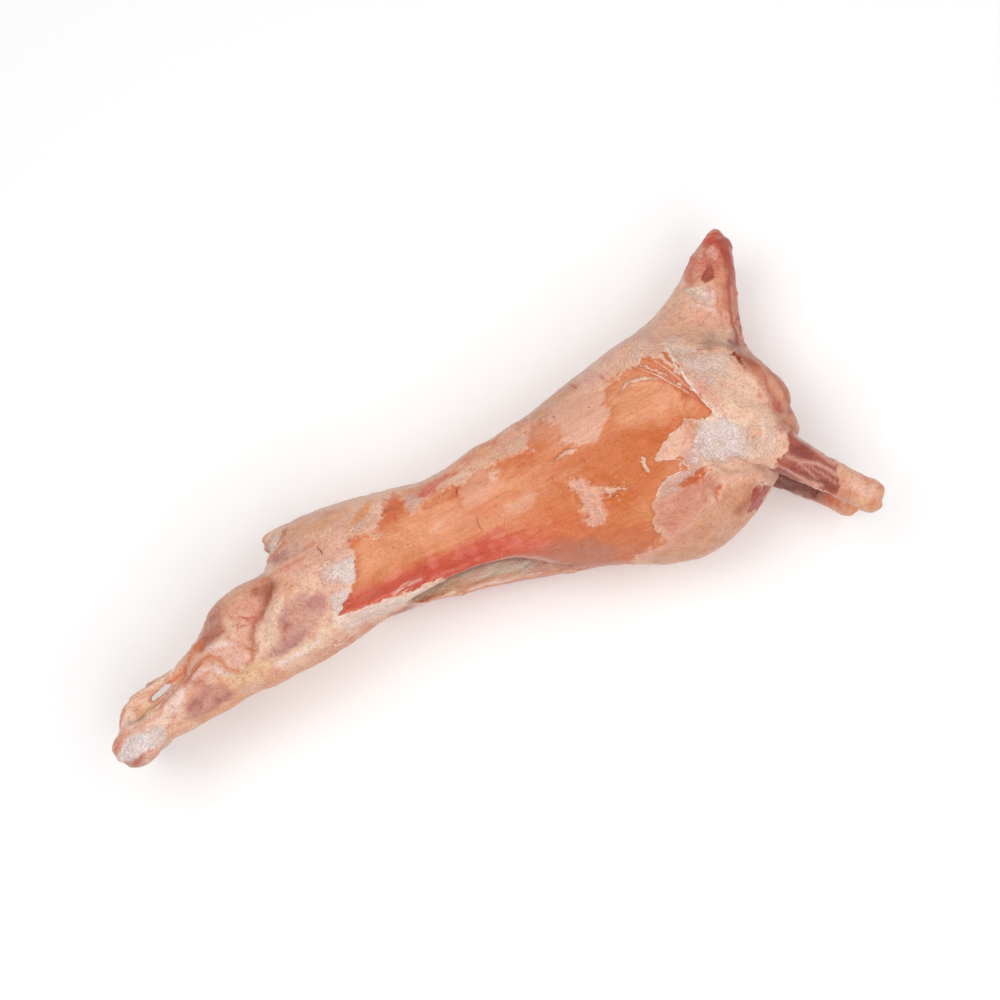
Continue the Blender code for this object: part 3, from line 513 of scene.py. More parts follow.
# Relief of the skin: height, half width, path. Below 0 it is a furrow.
RELIEF = (
    (-3.6, 6, ((-290, 48), (-305, 30), (-328, 16), (-342, -4), (-344, -14))),
    (-2.4, 4.5, ((-404, 16), (-388, 20), (-368, 26), (-350, 24), (-338, 20))),
    (1.4, 9, ((-392, 8), (-372, 10), (-362, -4), (-366, -18))),
    (-1.6, 3, ((-350, -6), (-346, -16), (-352, -24))),
    (1.6, 12, ((-330, 46), (-350, 40), (-366, 34))),
    (1.8, 14, ((-300, 10), (-280, 22), (-256, 26))),
    (-1.4, 5, ((-458, -52), (-430, -56), (-396, -53), (-340, -52))),
    (1.6, 4, ((-470, -26), (-450, -18), (-430, -10), (-412, -9))),
    (-1.4, 3, ((-480, -34), (-462, -30), (-446, -24))),
    (-1.8, 3, ((-470, -6), (-446, -2), (-430, 4))),
    (1.8, 4, ((-534, -48), (-516, -44), (-500, -48))),
    (-2, 4, ((-548, -58), (-534, -62), (-520, -60))),
    (1.8, 3, ((-512, -2), (-500, 4), (-486, 7))),
    (-1.4, 2.5, ((-528, -22), (-516, -10), (-506, -4))),
    (2.4, 3, ((-276, 84), (-262, 88), (-248, 93))),
    (-2.2, 2.4, ((-272, 88), (-260, 92), (-248, 96))),
    (2, 2.6, ((-272, 95), (-258, 97), (-244, 96))),
    (-1.4, 5, ((-270, 66), (-240, 64), (-214, 66))),
    (1.2, 8, ((-230, 76), (-200, 78), (-170, 76))),
    (-1.2, 4, ((244, -30), (256, -50), (262, -80))),
    (1.4, 8, ((252, -40), (268, -62), (284, -90))),
    (-1.4, 5, ((230, -100), (256, -108), (284, -118))),
    (1.2, 5, ((300, -40), (316, -60), (320, -84))),
    (-1.2, 4, ((312, 70), (330, 84), (344, 104))),
    (1.6, 5, ((322, 118), (334, 126), (348, 138), (362, 146))),
    (-1.6, 3, ((318, 122), (326, 106), (334, 92))),
    (1.6, 5, ((-437, -15), (-420, -3), (-405, 3), (-392, 4), (-385, -6), (-382, -18), (-373, -27))),
    (-1.6, 4, ((-432, -21), (-415, -12), (-398, -6), (-392, -16), (-388, -28))),
    (1.2, 4, ((-364, 12), (-352, -6), (-349, -20), (-360, -27))),
    (-1.5, 5, ((-458, -30), (-436, -22), (-410, -20), (-394, -26), (-386, -40))),
    (-1.2, 6, ((-330, -22), (-306, -12), (-300, 4), (-284, 18), (-262, 22))),
    (2.0, 3, ((-500, 2), (-476, 3), (-448, 6), (-424, 13), (-404, 23))),
    (-1.6, 3, ((-446, -2), (-428, 3), (-410, 14), (-394, 21))),
    (1.5, 4, ((-500, -26), (-476, -24), (-452, -16), (-436, -8))),
    (-1.4, 3, ((-552, -46), (-540, -35), (-523, -28), (-508, -30))),
    (-1.6, 3.5, ((-518, -18), (-506, -20), (-494, -24))),
    (-2.5, 4, ((-284, 68), (-268, 72), (-254, 72), (-238, 66))),
    (1.6, 2.5, ((-272, 82), (-258, 87), (-248, 92))),
    (-1.4, 2, ((-272, 78), (-256, 80))),
    (1.5, 2.2, ((-222, -33), (-165, -41), (-122, -48), (-100, -46), (-70, -53), (-30, -60))),
    (-1.4, 5, ((-222, -27), (-165, -34), (-110, -40), (-50, -48))),
    (1.0, 6, ((-200, -18), (-140, -19), (-60, -25), (20, -40))),
    (2.2, 3.5, ((262, 62), (264, 32), (268, 0), (273, -24), (279, -44))),
    (1.6, 2.5, ((216, 64), (234, 44), (252, 15), (266, -10))),
    (1.4, 2.2, ((240, 63), (254, 34), (264, 4))),
    (-1.8, 5, ((262, -84), (278, -100), (292, -122))),
    (-2.5, 4, ((324, 24), (328, 6), (336, -6))),
    (-2.0, 6, ((340, 24), (326, 40), (306, 48))),
    (1.2, 7, ((346, -8), (356, -36), (356, -70), (348, -96))),
    (-0.8, 5, ((338, -4), (341, -36), (342, -64), (338, -90))),
    (-1.7, 2.5, ((306, -122), (326, -150), (350, -176), (366, -192))),
    (-1.5, 2.5, ((320, -118), (338, -140), (356, -164), (368, -186))),
    (-1.5, 2.5, ((336, -108), (350, -132), (364, -158))),
    (1.6, 4, ((312, -120), (332, -146), (352, -172))),
    (1.6, 4, ((328, -112), (344, -136), (360, -162))),
    (-2.2, 5, ((362, 152), (350, 128), (340, 108))),
    (1.5, 5, ((342, 148), (356, 132), (368, 108))),
    (-1.6, 4, ((372, 146), (366, 126), (362, 104))),
    (-1.6, 4, ((236, -146), (256, -136), (282, -132))),
)

# Rolled torn edges of the cover: radius, path
ROLLED_EDGES = (
    (1.1, ((-236, -29), (-200, -35), (-165, -41), (-122, -47.5), (-100, -46))),
    (1.3, ((261, 64), (263, 32), (268, 0), (273, -24), (279, -46))),
    (0.7, ((218, 63), (235, 44), (253, 15), (266, -10))),
    (0.6, ((241, 62), (254, 34), (264, 4))),
    (0.9, ((240, -26), (215, -31), (200, -39), (185, -46), (200, -56), (213, -62), (212, -71))),
    (0.7, ((212, -75), (190, -75), (172, -79), (160, -92))),
    (0.9, ((169, -38), (173, -48), (172, -59))),
    (1.3, ((-275, 83), (-262, 88), (-247, 93))),
    (1, ((-275, 79), (-262, 83), (-250, 88))),
    (0.8, ((-271, 87), (-258, 92), (-246, 95))),
)
# Whitish lines of fascia and tendon, and pale cords that are painted highlights on the wet red band:
# radius, path
FASCIA_AND_HIGHLIGHT_LINES = (
    # The first four cords are painted highlights on the wet red band
    (0.8, ((-168, -38), (-156, -35.5), (-149, -37))),
    (0.8, ((-158, -34), (-147, -32), (-138, -34))),
    (0.7, ((-148, -38), (-137, -36), (-127, -38.5))),
    (0.5, ((-160, -39.5), (-150, -39), (-140, -41))),
    (1.3, ((-506, 5), (-480, 5), (-450, 7), (-424, 14), (-404, 24))),
    (0.9, ((-500, -22), (-476, -20), (-452, -12), (-436, -4))),
    (0.9, ((-545, -36), (-530, -20), (-518, -6))),
    (0.7, ((-520, -32), (-490, -35), (-460, -31), (-430, -22))),
    (0.6, ((-506, 1), (-484, 1), (-458, 3), (-432, 9))),
    (0.9, ((86, 13), (98, 11), (112, 8))),
    (0.5, ((190, 46), (206, 49), (224, 45))),
    (0.6, ((4, 34), (10, 32), (15, 29))),
    (0.5, ((-160, 38), (-150, 34), (-142, 30))),
)
# Small vessels: radius, path
VESSELS = (
    (0.8, ((-43, 28), (-42, 34), (-37, 38))),
    (0.5, ((-34, -4), (-38, -15), (-36, -23))),
    (0.7, ((-220, 57), (-217, 49), (-219, 43))),
    (0.7, ((-341, 29), (-336, 22), (-325, 20))),
    (0.8, ((142, 80), (146, 71))),
    (0.8, ((178, 70), (180, 65))),
    (0.6, ((103, 60), (107, 52))),
    (0.7, ((292, 44), (302, 39))),
    (0.5, ((-121, 46), (-121, 38))),
    (0.5, ((110, -2), (112, -13))),
    (0.4, ((-151, 4), (-150, -4))),
    (0.6, ((-436, -14), (-420, -4), (-404, 2))),
    (0.5, ((112, 28), (114, 24))),
    (0.7, ((146, 47), (149, 44))),
    (0.5, ((206, -90), (222, -92), (234, -89))),
)
# Crumbs of fat: how many, their size, how far they scatter, middle of the place
CRUMBS = (
    (16, 1.5, 11, (-174, 53)),
    (7, 1.2, 7, (-152, 34)),
    (18, 1, 20, (30, 54)),
    (8, 0.9, 16, (-60, 50)),
    (18, 1.4, 13, (-222, 20)),
    (16, 1.7, 8, (-252, -52)),
    (14, 1.4, 8, (212, -70)),
    (10, 1.3, 8, (228, -90)),
    (10, 0.9, 12, (126, -56)),
    (8, 1.2, 8, (272, -118)),
    (8, 1.2, 9, (-258, 88)),
    (12, 1.1, 12, (226, 84)),
)

# The inner face of the far flank, as it is seen from the near side, and its rim
FAR_FLANK_FACE = ((-186, -46), (-186, -66), (-140, -68), (-80, -86), (-30, -104), (20, -122), (60, -134),
                  (60, -100), (20, -76), (-60, -44), (-120, -40))
FAR_FLANK_RIM = ((-180, -58), (-140, -61), (-100, -71), (-60, -84), (-20, -97), (20, -110), (56, -122))

# How far that inner face swells towards the opening
FLANK_BULGE = 9

# The cut edge of the near flank, painted with shade and kept dull
NEAR_FLANK_EDGE = ((-56, -58), (-36, -66), (-12, -80), (10, -96), (35, -111))

# Paint on what shows of the far side from the near one: colour, strength, softness of the edge, outline
FAR_PATCHES = (
    (SHADED_LINING, 0.8, 6, ((-170, -48), (-120, -48), (-80, -52), (-56, -58), (-84, -63), (-120, -60),
                             (-150, -57))),
    (FROST, 0.9, 4, ((-60, -60), (-46, -59), (-35, -65), (-38, -72), (-54, -70))),
    (STRAW, 0.6, 5, ((-108, -60), (-92, -59), (-85, -64), (-94, -70), (-108, -67))),
    (FROST, 0.8, 3, ((-86, -75), (-74, -80), (-48, -85), (-44, -82), (-66, -77))),
    (RIM_LINING, 0.85, 3, ((-76, -84), (-40, -88), (0, -100), (24, -108), (24, -120), (-2, -112),
                           (-44, -98), (-76, -90))),
    (MUSCLE_RED, 0.6, 4, ((-186, -54), (-160, -57), (-128, -60), (-134, -66), (-180, -64))),
    (RED, 0.55, 6, ((338, -180), (346, -182), (354, -196), (350, -206), (340, -192))),
    (BRIGHT_ORANGE, 0.35, 8, ((352, -202), (366, -204), (372, -216), (360, -226), (350, -216))),
)
# Thin marks there
FAR_MARKS = (
    (FROST, 0.8, 1.8, ((-34, -63), (-22, -70), (-13, -80), (-6, -90))),
    (FROST, 0.6, 1.6, ((-60, -84), (-30, -90), (0, -99))),
    (RIM_LINING, 0.6, 2, ((-96, -68), (-60, -77), (-20, -88))),
)

# The far legs lie this far off the near ones' mirror image
FAR_HIND_SWAY = (8, 21)
FAR_FORE_SWAY = (-11, 21)


def light_of(levels):
    """A seen colour as the surface's own, without the gloss on it."""
    share = np.array(levels) / 255
    light = np.where(share <= 0.04045, share / 12.92, ((share + 0.055) / 1.055) ** 2.4)
    return np.clip((light - GLOSS_VEIL) / LAMP_STRENGTH, 0.01, 0.95)


def ramp(value, start, end):
    """A smooth rise from 0 at start to 1 at end."""
    share = np.clip((value - start) / (end - start), 0, 1)
    return share * share * (3 - 2 * share)


def lattice_noise(points, size, seed):
    """Smooth noise from -1 to 1, whose bumps lie about size apart. Size may differ along each axis."""
    table = np.random.default_rng(seed).uniform(-1, 1, (NOISE_CELLS,) * 3)
    scaled = points / np.array(size)
    base = np.floor(scaled).astype(int)
    part = scaled - base
    part = part * part * (3 - 2 * part)
    total = np.zeros(len(points))
    for corner in itertools.product((0, 1), repeat=3):
        weight = np.prod(np.where(corner, part, 1 - part), axis=1)
        cell = (base + corner) % NOISE_CELLS
        total += weight * table[cell[:, 0], cell[:, 1], cell[:, 2]]
    return total


def rough_noise(points, size, seed, octaves=3):
    """Noise with finer noise on top of it."""
    total = np.zeros(len(points))
    scale = np.array(size, float)
    for octave in range(octaves):
        total += 0.5 ** octave * lattice_noise(points, scale * 0.5 ** octave, seed + octave)
    return total


def segment_distance(places, start, end):
    start = np.array(start, float)
    along = np.array(end, float) - start
    share = np.clip((places - start) @ along / (along @ along), 0, 1)
    return np.linalg.norm(places - start - share[:, None] * along, axis=1)


def path_distance(places, path):
    """How far each place lies from an open line."""
    nearest = np.full(len(places), np.inf)
    for start, end in zip(path, path[1:]):
        nearest = np.minimum(nearest, segment_distance(places, start, end))
    return nearest


def outline_depth(places, outline):
    """How far inside a closed outline each place lies, below 0 outside it."""
    closed = (*outline, outline[0])
    inside = np.zeros(len(places), bool)
    for (x0, y0), (x1, y1) in zip(closed, closed[1:]):
        if y0 != y1:
            crosses = (places[:, 1] > min(y0, y1)) & (places[:, 1] <= max(y0, y1))
            inside ^= crosses & (places[:, 0] < x0 + (places[:, 1] - y0) * (x1 - x0) / (y1 - y0))
    return np.where(inside, 1, -1) * path_distance(places, closed)


def new_piece(name, bm, material):
    """An object from a bmesh in the frame's metres, riding on the carcass's body."""
    for face in bm.faces:
        face.smooth = True
    mesh = bpy.data.meshes.new(name)
    bm.to_mesh(mesh)
    bm.free()
    mesh.materials.append(material)
    piece = bpy.data.objects.new(name, mesh)
    bpy.context.scene.collection.objects.link(piece)
    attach(piece, "root")
    return piece


def vectors(mesh, what):
    values = np.empty(len(mesh.vertices) * 3)
    mesh.vertices.foreach_get(what, values)
    return values.reshape(-1, 3)


class Skin:
    """The carcass's skin as arrays, in millimetres from its middle."""

    def __init__(self, mesh):
        self.mesh = mesh
        self.points = vectors(mesh, "co") / MM - MIDDLE
        self.normals = vectors(mesh, "normal")
        edges = np.empty(len(mesh.edges) * 2, int)
        mesh.edges.foreach_get("vertices", edges)
        self.edges = edges.reshape(-1, 2)
        self.find_places()
        self.find_inside()

    def find_places(self):
        """Where each vertex is seen from its own side, and where it is seen from the near side."""
        x, y, z = self.points.T
        far = ramp(-z, 0, 30)
        hip = ramp(-x, 130, 200)
        shin = ramp(-x, 230, 400)
        elbow = ramp(-y, 90, 200) * ramp(x, 270, 320)
        still_x = x - far * (FAR_HIND_SWAY[0] * shin + FAR_FORE_SWAY[0] * elbow)
        still_y = y - far * (FAR_HIND_SWAY[1] * (0.5 * hip + 0.5 * shin) + FAR_FORE_SWAY[1] * elbow)
        self.places = self.seen(still_x, still_y, np.abs(z))
        self.near_places = self.seen(x, y, z)

    @staticmethod
    def seen(x, y, z):
        closer = 1 + z / VIEW_DISTANCE
        upright = math.sin(VIEW_HEIGHT) * y + math.cos(VIEW_HEIGHT) * z
        return np.column_stack((x * closer, upright * closer))

    def spread(self, values, passes):
        """Averages each vertex with its neighbours."""
        count = len(values)
        one, other = self.edges.T
        share = 1 + np.bincount(one, minlength=count) + np.bincount(other, minlength=count)
        for _ in range(passes):
            values = (values + np.bincount(one, values[other], count)
                      + np.bincount(other, values[one], count)) / share
        return values

    def find_inside(self):
        """Finds the walls of the hollow, where a line straight off the skin meets the carcass again."""
        tree = BVHTree.FromPolygons(self.points.tolist(), [p.vertices for p in self.mesh.polygons])
        hidden = np.zeros(len(self.points))
        low, high = np.array(INSIDE_BOX)
        in_trunk = ((self.points > low) & (self.points < high)).all(axis=1)
        for i in np.flatnonzero(in_trunk):
            out = Vector(self.normals[i])
            hit = tree.ray_cast(Vector(self.points[i]) + out, out, INSIDE_REACH)
            hidden[i] = hit[0] is not None
        _, y, z = self.points.T
        facing_up = ramp(self.normals[:, 2], 0.1, 0.4) * ramp(-z, 2, 8) * ramp(-y, 20, 30)
        self.flank = ramp(outline_depth(self.near_places, FAR_FLANK_FACE), -3, 3) * facing_up
        self.inside = np.maximum(ramp(self.spread(hidden, INSIDE_SPREAD), 0.5, 0.95), self.flank)

    def push(self, height):
        """Moves the skin out by a height, and keeps it above the surface it lies on."""
        free = ramp(self.points[:, 2], 0.5 - LIE_DEPTH, 12 - LIE_DEPTH)
        self.points += self.normals * (height * free)[:, None]
        self.points[:, 2] = np.maximum(self.points[:, 2], 0.2 - LIE_DEPTH)

    def store(self):
        self.mesh.vertices.foreach_set("co", ((self.points + MIDDLE) * MM).ravel())
        self.mesh.update()
        self.normals = vectors(self.mesh, "normal")

    def save_colour(self, name, values):
        layer = self.mesh.attributes.new(name, "FLOAT_COLOR", "POINT")
        layer.data.foreach_set("color", np.column_stack((values, np.ones(len(values)))).ravel())


def carcass_mesh():
    """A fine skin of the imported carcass."""
    bm = bmesh.new()
    bm.from_mesh(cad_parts[CARCASS].data)
    bmesh.ops.remove_doubles(bm, verts=bm.verts, dist=WELD * MM)
    mesh = bpy.data.meshes.new("carcass_skin")
    bm.to_mesh(mesh)
    bm.free()
    raw = bpy.data.objects.new("carcass_skin", mesh)
    bpy.context.scene.collection.objects.link(raw)
    remesh = raw.modifiers.new("fine skin", "REMESH")
    remesh.mode = "VOXEL"
    remesh.voxel_size = SKIN_VOXEL * MM
    soften = raw.modifiers.new("soften", "SMOOTH")
    soften.factor = 0.5
    soften.iterations = SKIN_SOFTENING
    fine = bpy.data.meshes.new_from_object(raw.evaluated_get(bpy.context.evaluated_depsgraph_get()))
    bpy.data.objects.remove(raw)
    return fine


def warped(places, points, reach):
    """Places moved about by noise, which makes an outline drawn on them ragged, but for the clean cut."""
    drift = np.column_stack((rough_noise(points, 14, 11), rough_noise(points, 14, 21)))
    fine = np.column_stack((lattice_noise(points, 5, 31), lattice_noise(points, 5, 41)))
    ragged = 1 - 0.8 * ramp(outline_depth(places, CLEAN_CUT), -4, 4)
    return places + ragged[:, None] * reach * (drift + 0.4 * fine)


def bare_depth(places):
    """How far inside the bare sheet or bare meat each place lies."""
    depth = outline_depth(places, SHEET_OUTLINE)
    for outline in MEAT_OUTLINES:
        depth = np.maximum(depth, outline_depth(places, outline))
    for outline in SCRAP_OUTLINES:
        depth = np.minimum(depth, -outline_depth(places, outline))
    return depth


def edge_width(places):
    """How wide the bare sheet's edge is at each place."""
    width = np.full(len(places), CRISP_EDGE)
    for softness, outline in SOFT_EDGES:
        width += (softness - width) * ramp(outline_depth(places, outline), -4, 6)
    return width


def shape_skin(skin):
    """Sculpts lumps, fibres, furrows, ridges and the step at the torn cover's edge."""
    points = skin.points.copy()
    outer = 1 - skin.inside
    places = warped(skin.places, points, RELIEF_WARP)
    skin.depth = bare_depth(warped(skin.places, points, EDGE_WARP))
    skin.width = edge_width(skin.places)
    skin.bare = skin.depth / skin.width
    cover = ramp(-skin.bare, -0.6, 0.9)
    skin.fat = cover * outer * ramp(rough_noise(points, 40, 51) + 0.35, -0.3, 0.7)
    height = 1.2 * rough_noise(points, 32, 61) + 0.45 * rough_noise(points * (0.35, 1, 1), 9, 71)
    height += skin.fat * 0.55 * np.abs(rough_noise(points, 8, 81))
    height += 1.1 * cover * outer
    torn = np.exp(-(skin.bare / 1.4) ** 2) * outer
    height += torn * (0.7 + 0.8 * lattice_noise(points, 7, 91))
    fibre = lattice_noise(points, (60, 5, 5), 101) + 0.5 * lattice_noise(points, (30, 2.8, 2.8), 102)
    height += (1 - cover) * outer * 0.4 * fibre
    for rise, half_width, path in RELIEF:
        height += rise * outer * along(places, path, half_width)
    height += FLANK_BULGE * skin.flank * ramp(path_distance(skin.near_places, FAR_FLANK_RIM), 2, 20)
    ribs = np.sin(points[:, 0] / 3.6 + 0.03 * points[:, 1])
    height += skin.inside * 1.3 * ribs * ramp(points[:, 0], 0, 40) * ramp(-points[:, 1], 0, 20)
    skin.push(height)
    skin.store()


def blend_in(colour, levels, share):
    colour += share[:, None] * (light_of(levels) - colour)


def within(places, outline, softness):
    """How much each place lies in an outline, from 0 to 1, over an edge that is this soft."""
    return ramp(outline_depth(places, outline), -0.5 * softness, 0.5 * softness)


def along(places, path, half_width):
    """How near each place lies to an open line, 1 on it."""
    return np.exp(-(path_distance(places, path) / half_width) ** 2)


def lay_patches(colour, places, patches, fade):
    for levels, strength, softness, outline in patches:
        blend_in(colour, levels, strength * fade * within(places, outline, softness))


def lay_marks(colour, places, marks, fade):
    for levels, strength, half_width, path in marks:
        blend_in(colour, levels, strength * fade * along(places, path, half_width))


def paint_cover(skin):
    """The pale cover: a mottle of beige, pink and tan, patches and marks, and a painted shade along the
    back's rim.
    """
    points = skin.points
    colour = np.tile(light_of(BEIGE), (len(points), 1))
    blend_in(colour, PINK, ramp(rough_noise(points, 30, 111), -0.2, 0.7))
    blend_in(colour, TAN, 0.8 * ramp(rough_noise(points, 24, 121), 0.1, 0.8))
    hock = ramp(-skin.places[:, 0], 488, 525)
    blend_in(colour, SHELL, 0.5 * hock * ramp(lattice_noise(points, 12, 141), -0.6, 0.3))
    spine = ramp(skin.normals[:, 1], 0.86, 0.97)
    fade = (0.85 + 0.25 * rough_noise(points, 12, 131, 2)) * (1 - 0.8 * spine)
    lay_patches(colour, warped(skin.places, points, COVER_WARP), COVER_PATCHES, fade)
    lay_marks(colour, warped(skin.places, points, MARK_WARP), COVER_MARKS, 1 - 0.9 * spine)
    # Painted shade: grey-brown along the back's rim, where the skin turns towards the spine
    blend_in(colour, GREY_BROWN, 0.35 * ramp(skin.normals[:, 1], 0.8, 1))
    return colour


def paint_bare(skin):
    """The bare sheet and the bare meat under the cover."""
    points = skin.points
    colour = np.tile(light_of(ORANGE), (len(points), 1))
    blend_in(colour, LIGHT_ORANGE, ramp(rough_noise(points, 26, 151), -0.1, 0.8))
    blend_in(colour, RED_ORANGE, 0.5 * ramp(rough_noise(points * (0.3, 1, 1), 16, 161), 0.2, 1))
    streak = lattice_noise(points, (120, 5, 5), 171) + 0.5 * lattice_noise(points, (60, 3, 3), 172)
    places = warped(skin.places, points, BARE_WARP) + np.column_stack((10 * streak, 1.5 * streak))
    lay_patches(colour, places, BARE_PATCHES, 1)
    lay_marks(colour, warped(skin.places, points, BARE_MARK_WARP), BARE_MARKS, 1)
    return colour


def paint_inside(skin, colour):
    """The lining of the hollow, and the inner face of the far flank, which shows through the open belly."""
    points = skin.points
    lining = np.tile(light_of(LINING), (len(points), 1))
    streak = lattice_noise(points, (80, 6, 6), 181) + 0.5 * lattice_noise(points, (40, 3, 3), 182)
    fine = lattice_noise(points, (60, 3, 3), 183)
    blend_in(lining, PINK_LINING, ramp(streak, -0.3, 0.6))
    blend_in(lining, GREY_LINING, 0.8 * ramp(-streak, 0, 0.6))
    blend_in(lining, FROST, 0.5 * ramp(fine, 0.35, 0.7))
    blend_in(lining, DARK_LINING, 0.7 * ramp(points[:, 0], 60, 150))
    blend_in(lining, DARK_LINING, 0.5 * ramp(points[:, 1], -30, 10))
    rim = path_distance(skin.near_places, FAR_FLANK_RIM) + 2.5 * streak
    blend_in(lining, RIM_LINING, 0.85 * ramp(-rim, -9, -3) * (1 - 0.6 * ramp(fine, 0.1, 0.5)))
    # Painted light: the violet lining at the front of the opening is painted light enough to make up for
    # the near flank's shade
    blend_in(lining, VIOLET_LINING, 0.9 * ramp(skin.near_places[:, 0] + 6 * streak, -20, 4))
    colour += skin.inside[:, None] * (lining - colour)


def paint_skin(skin):
    """Keeps both coats of paint on the skin, and where each one shows and how it shines."""
    cover = paint_cover(skin)
    bare = paint_bare(skin)
    x, y, z = skin.points.T
    # Painted shade on the inner faces of the forelegs, which face the middle plane
    inner_leg_shade = ramp(x, 286, 300) * ramp(-y, 116, 130) * ramp(-y, 192, 172)
    inner_leg_shade *= ramp(-skin.normals[:, 2] * np.sign(z), -0.1, 0.4)
    # Painted shade along the near flank's cut edge, where it also shines less
    fold = along(skin.places, NEAR_FLANK_EDGE, 3) * ramp(z, 2, 8)
    shown = ramp(-z, 2, 8) * ramp(skin.normals[:, 2], -0.1, 0.3)
    places = warped(skin.near_places, skin.points, MARK_WARP)
    for colour in (cover, bare):
        paint_inside(skin, colour)
        # Painted shade on the legs' inner faces and along the near flank's cut edge
        blend_in(colour, SHADED_MEAT, 0.8 * inner_leg_shade)
        blend_in(colour, SHADED_MEAT, 0.75 * fold)
        lay_patches(colour, places, FAR_PATCHES, shown)
        lay_marks(colour, places, FAR_MARKS, shown)
    skin.save_colour("cover_paint", cover)
    skin.save_colour("bare_paint", bare)

    red = ramp(outline_depth(skin.places, RED_BAND), -6, 4)
    wet = np.clip(0.2 + 0.25 * ramp(skin.bare, -0.5, 1) + 0.55 * red, 0, 1)
    wet *= (1 - 0.5 * skin.inside) * (1 - fold)
    flecks = 0.15 * skin.fat
    places = warped(skin.places, skin.points, EDGE_WARP)
    for thickness, softness, outline in FLECKS:
        flecks = np.maximum(flecks, thickness * within(places, outline, softness))
    skin.save_colour("finish", np.column_stack((wet, flecks, skin.inside)))
    skin.save_colour("torn_edge", np.column_stack((
        0.5 + 0.5 * np.clip(skin.depth, -EDGE_REACH, EDGE_REACH) / EDGE_REACH,
        skin.width / WIDEST_EDGE,
        CRISP_EDGE / skin.width,
    )))


class Wire:
    """A node's output that stands in a sum with other wires and with numbers."""

    def __init__(self, shader, socket):
        self.shader = shader
        self.socket = socket

    def combine(self, operation, one, other):
        return self.shader.node("ShaderNodeMath", {"operation": operation}, {0: one, 1: other})

    def __add__(self, other):
        return self.combine("ADD", self, other)

    def __radd__(self, other):
        return self.combine("ADD", other, self)

    def __sub__(self, other):
        return self.combine("SUBTRACT", self, other)

    def __rsub__(self, other):
        return self.combine("SUBTRACT", other, self)

    def __mul__(self, other):
        return self.combine("MULTIPLY", self, other)

    def __rmul__(self, other):
        return self.combine("MULTIPLY", other, self)


class Shader:
    """A material and the few ways in which its nodes are made."""

    def __init__(self, name):
        self.material = bpy.data.materials.new(name)
        self.material.use_nodes = True
        self.nodes = self.material.node_tree.nodes
        self.links = self.material.node_tree.links
        self.surface = next(n for n in self.nodes if n.type == "BSDF_PRINCIPLED")
        self.place = self.node("ShaderNodeTexCoord", {}, {}, "Object")

    def set_input(self, node, key, value):
        if isinstance(value, Wire):
            self.links.new(value.socket, node.inputs[key])
        else:
            node.inputs[key].default_value = value

    def node(self, kind, settings, inputs, output=0):
        node = self.nodes.new(kind)
        for key, value in settings.items():
            setattr(node, key, value)
        for key, value in inputs.items():
            self.set_input(node, key, value)
        return Wire(self, node.outputs[output])

    def stretched(self, scale):
        return self.node("ShaderNodeMapping", {}, {"Vector": self.place, "Scale": scale})

    def noise(self, scale, detail=2, place=None, roughness=0.5, distortion=0):
        return self.node("ShaderNodeTexNoise", {}, {
            "Vector": place or self.place,
            "Scale": scale,
            "Detail": detail,
            "Roughness": roughness,
            "Distortion": distortion,
        })

    def step(self, value, start, end):
        """A smooth rise from 0 at start to 1 at end, or a fall where start is above end."""
        low, high = (0, 1) if start < end else (1, 0)
        return self.node("ShaderNodeMapRange", {"interpolation_type": "SMOOTHSTEP"}, {
            "Value": value,
            "From Min": min(start, end),
            "From Max": max(start, end),
            "To Min": low,
            "To Max": high,
        })

    def absolute(self, value):
        return self.node("ShaderNodeMath", {"operation": "ABSOLUTE"}, {0: value})

    def line(self, value, half_width):
        """Thin lines where the value passes its middle."""
        return self.step(self.absolute(value - 0.5), half_width, 0)

    def mix(self, share, one, other, blend="MIX"):
        settings = {"data_type": "RGBA", "blend_type": blend, "clamp_factor": True}
        return self.node("ShaderNodeMix", settings, {0: share, 6: one, 7: other}, 2)

    def tint(self, share, colour, factors):
        """Brightens or darkens a colour by one factor for each channel."""
        return self.mix(share, colour, (*factors, 1), "MULTIPLY")

    def attribute(self, name):
        return self.node("ShaderNodeAttribute", {"attribute_name": name}, {}, "Color")

    def channels(self, colour):
        split = self.nodes.new("ShaderNodeSeparateColor")
        self.links.new(colour.socket, split.inputs[0])
        return [Wire(self, output) for output in split.outputs]

    def bump(self, height, distance):
        return self.node("ShaderNodeBump", {}, {"Height": height, "Distance": distance})

    def finish(self, **inputs):
        for key, value in inputs.items():
            self.set_input(self.surface, key.replace("_", " "), value)
        return self.material


def colour_of(levels):
    return (*light_of(levels), 1)


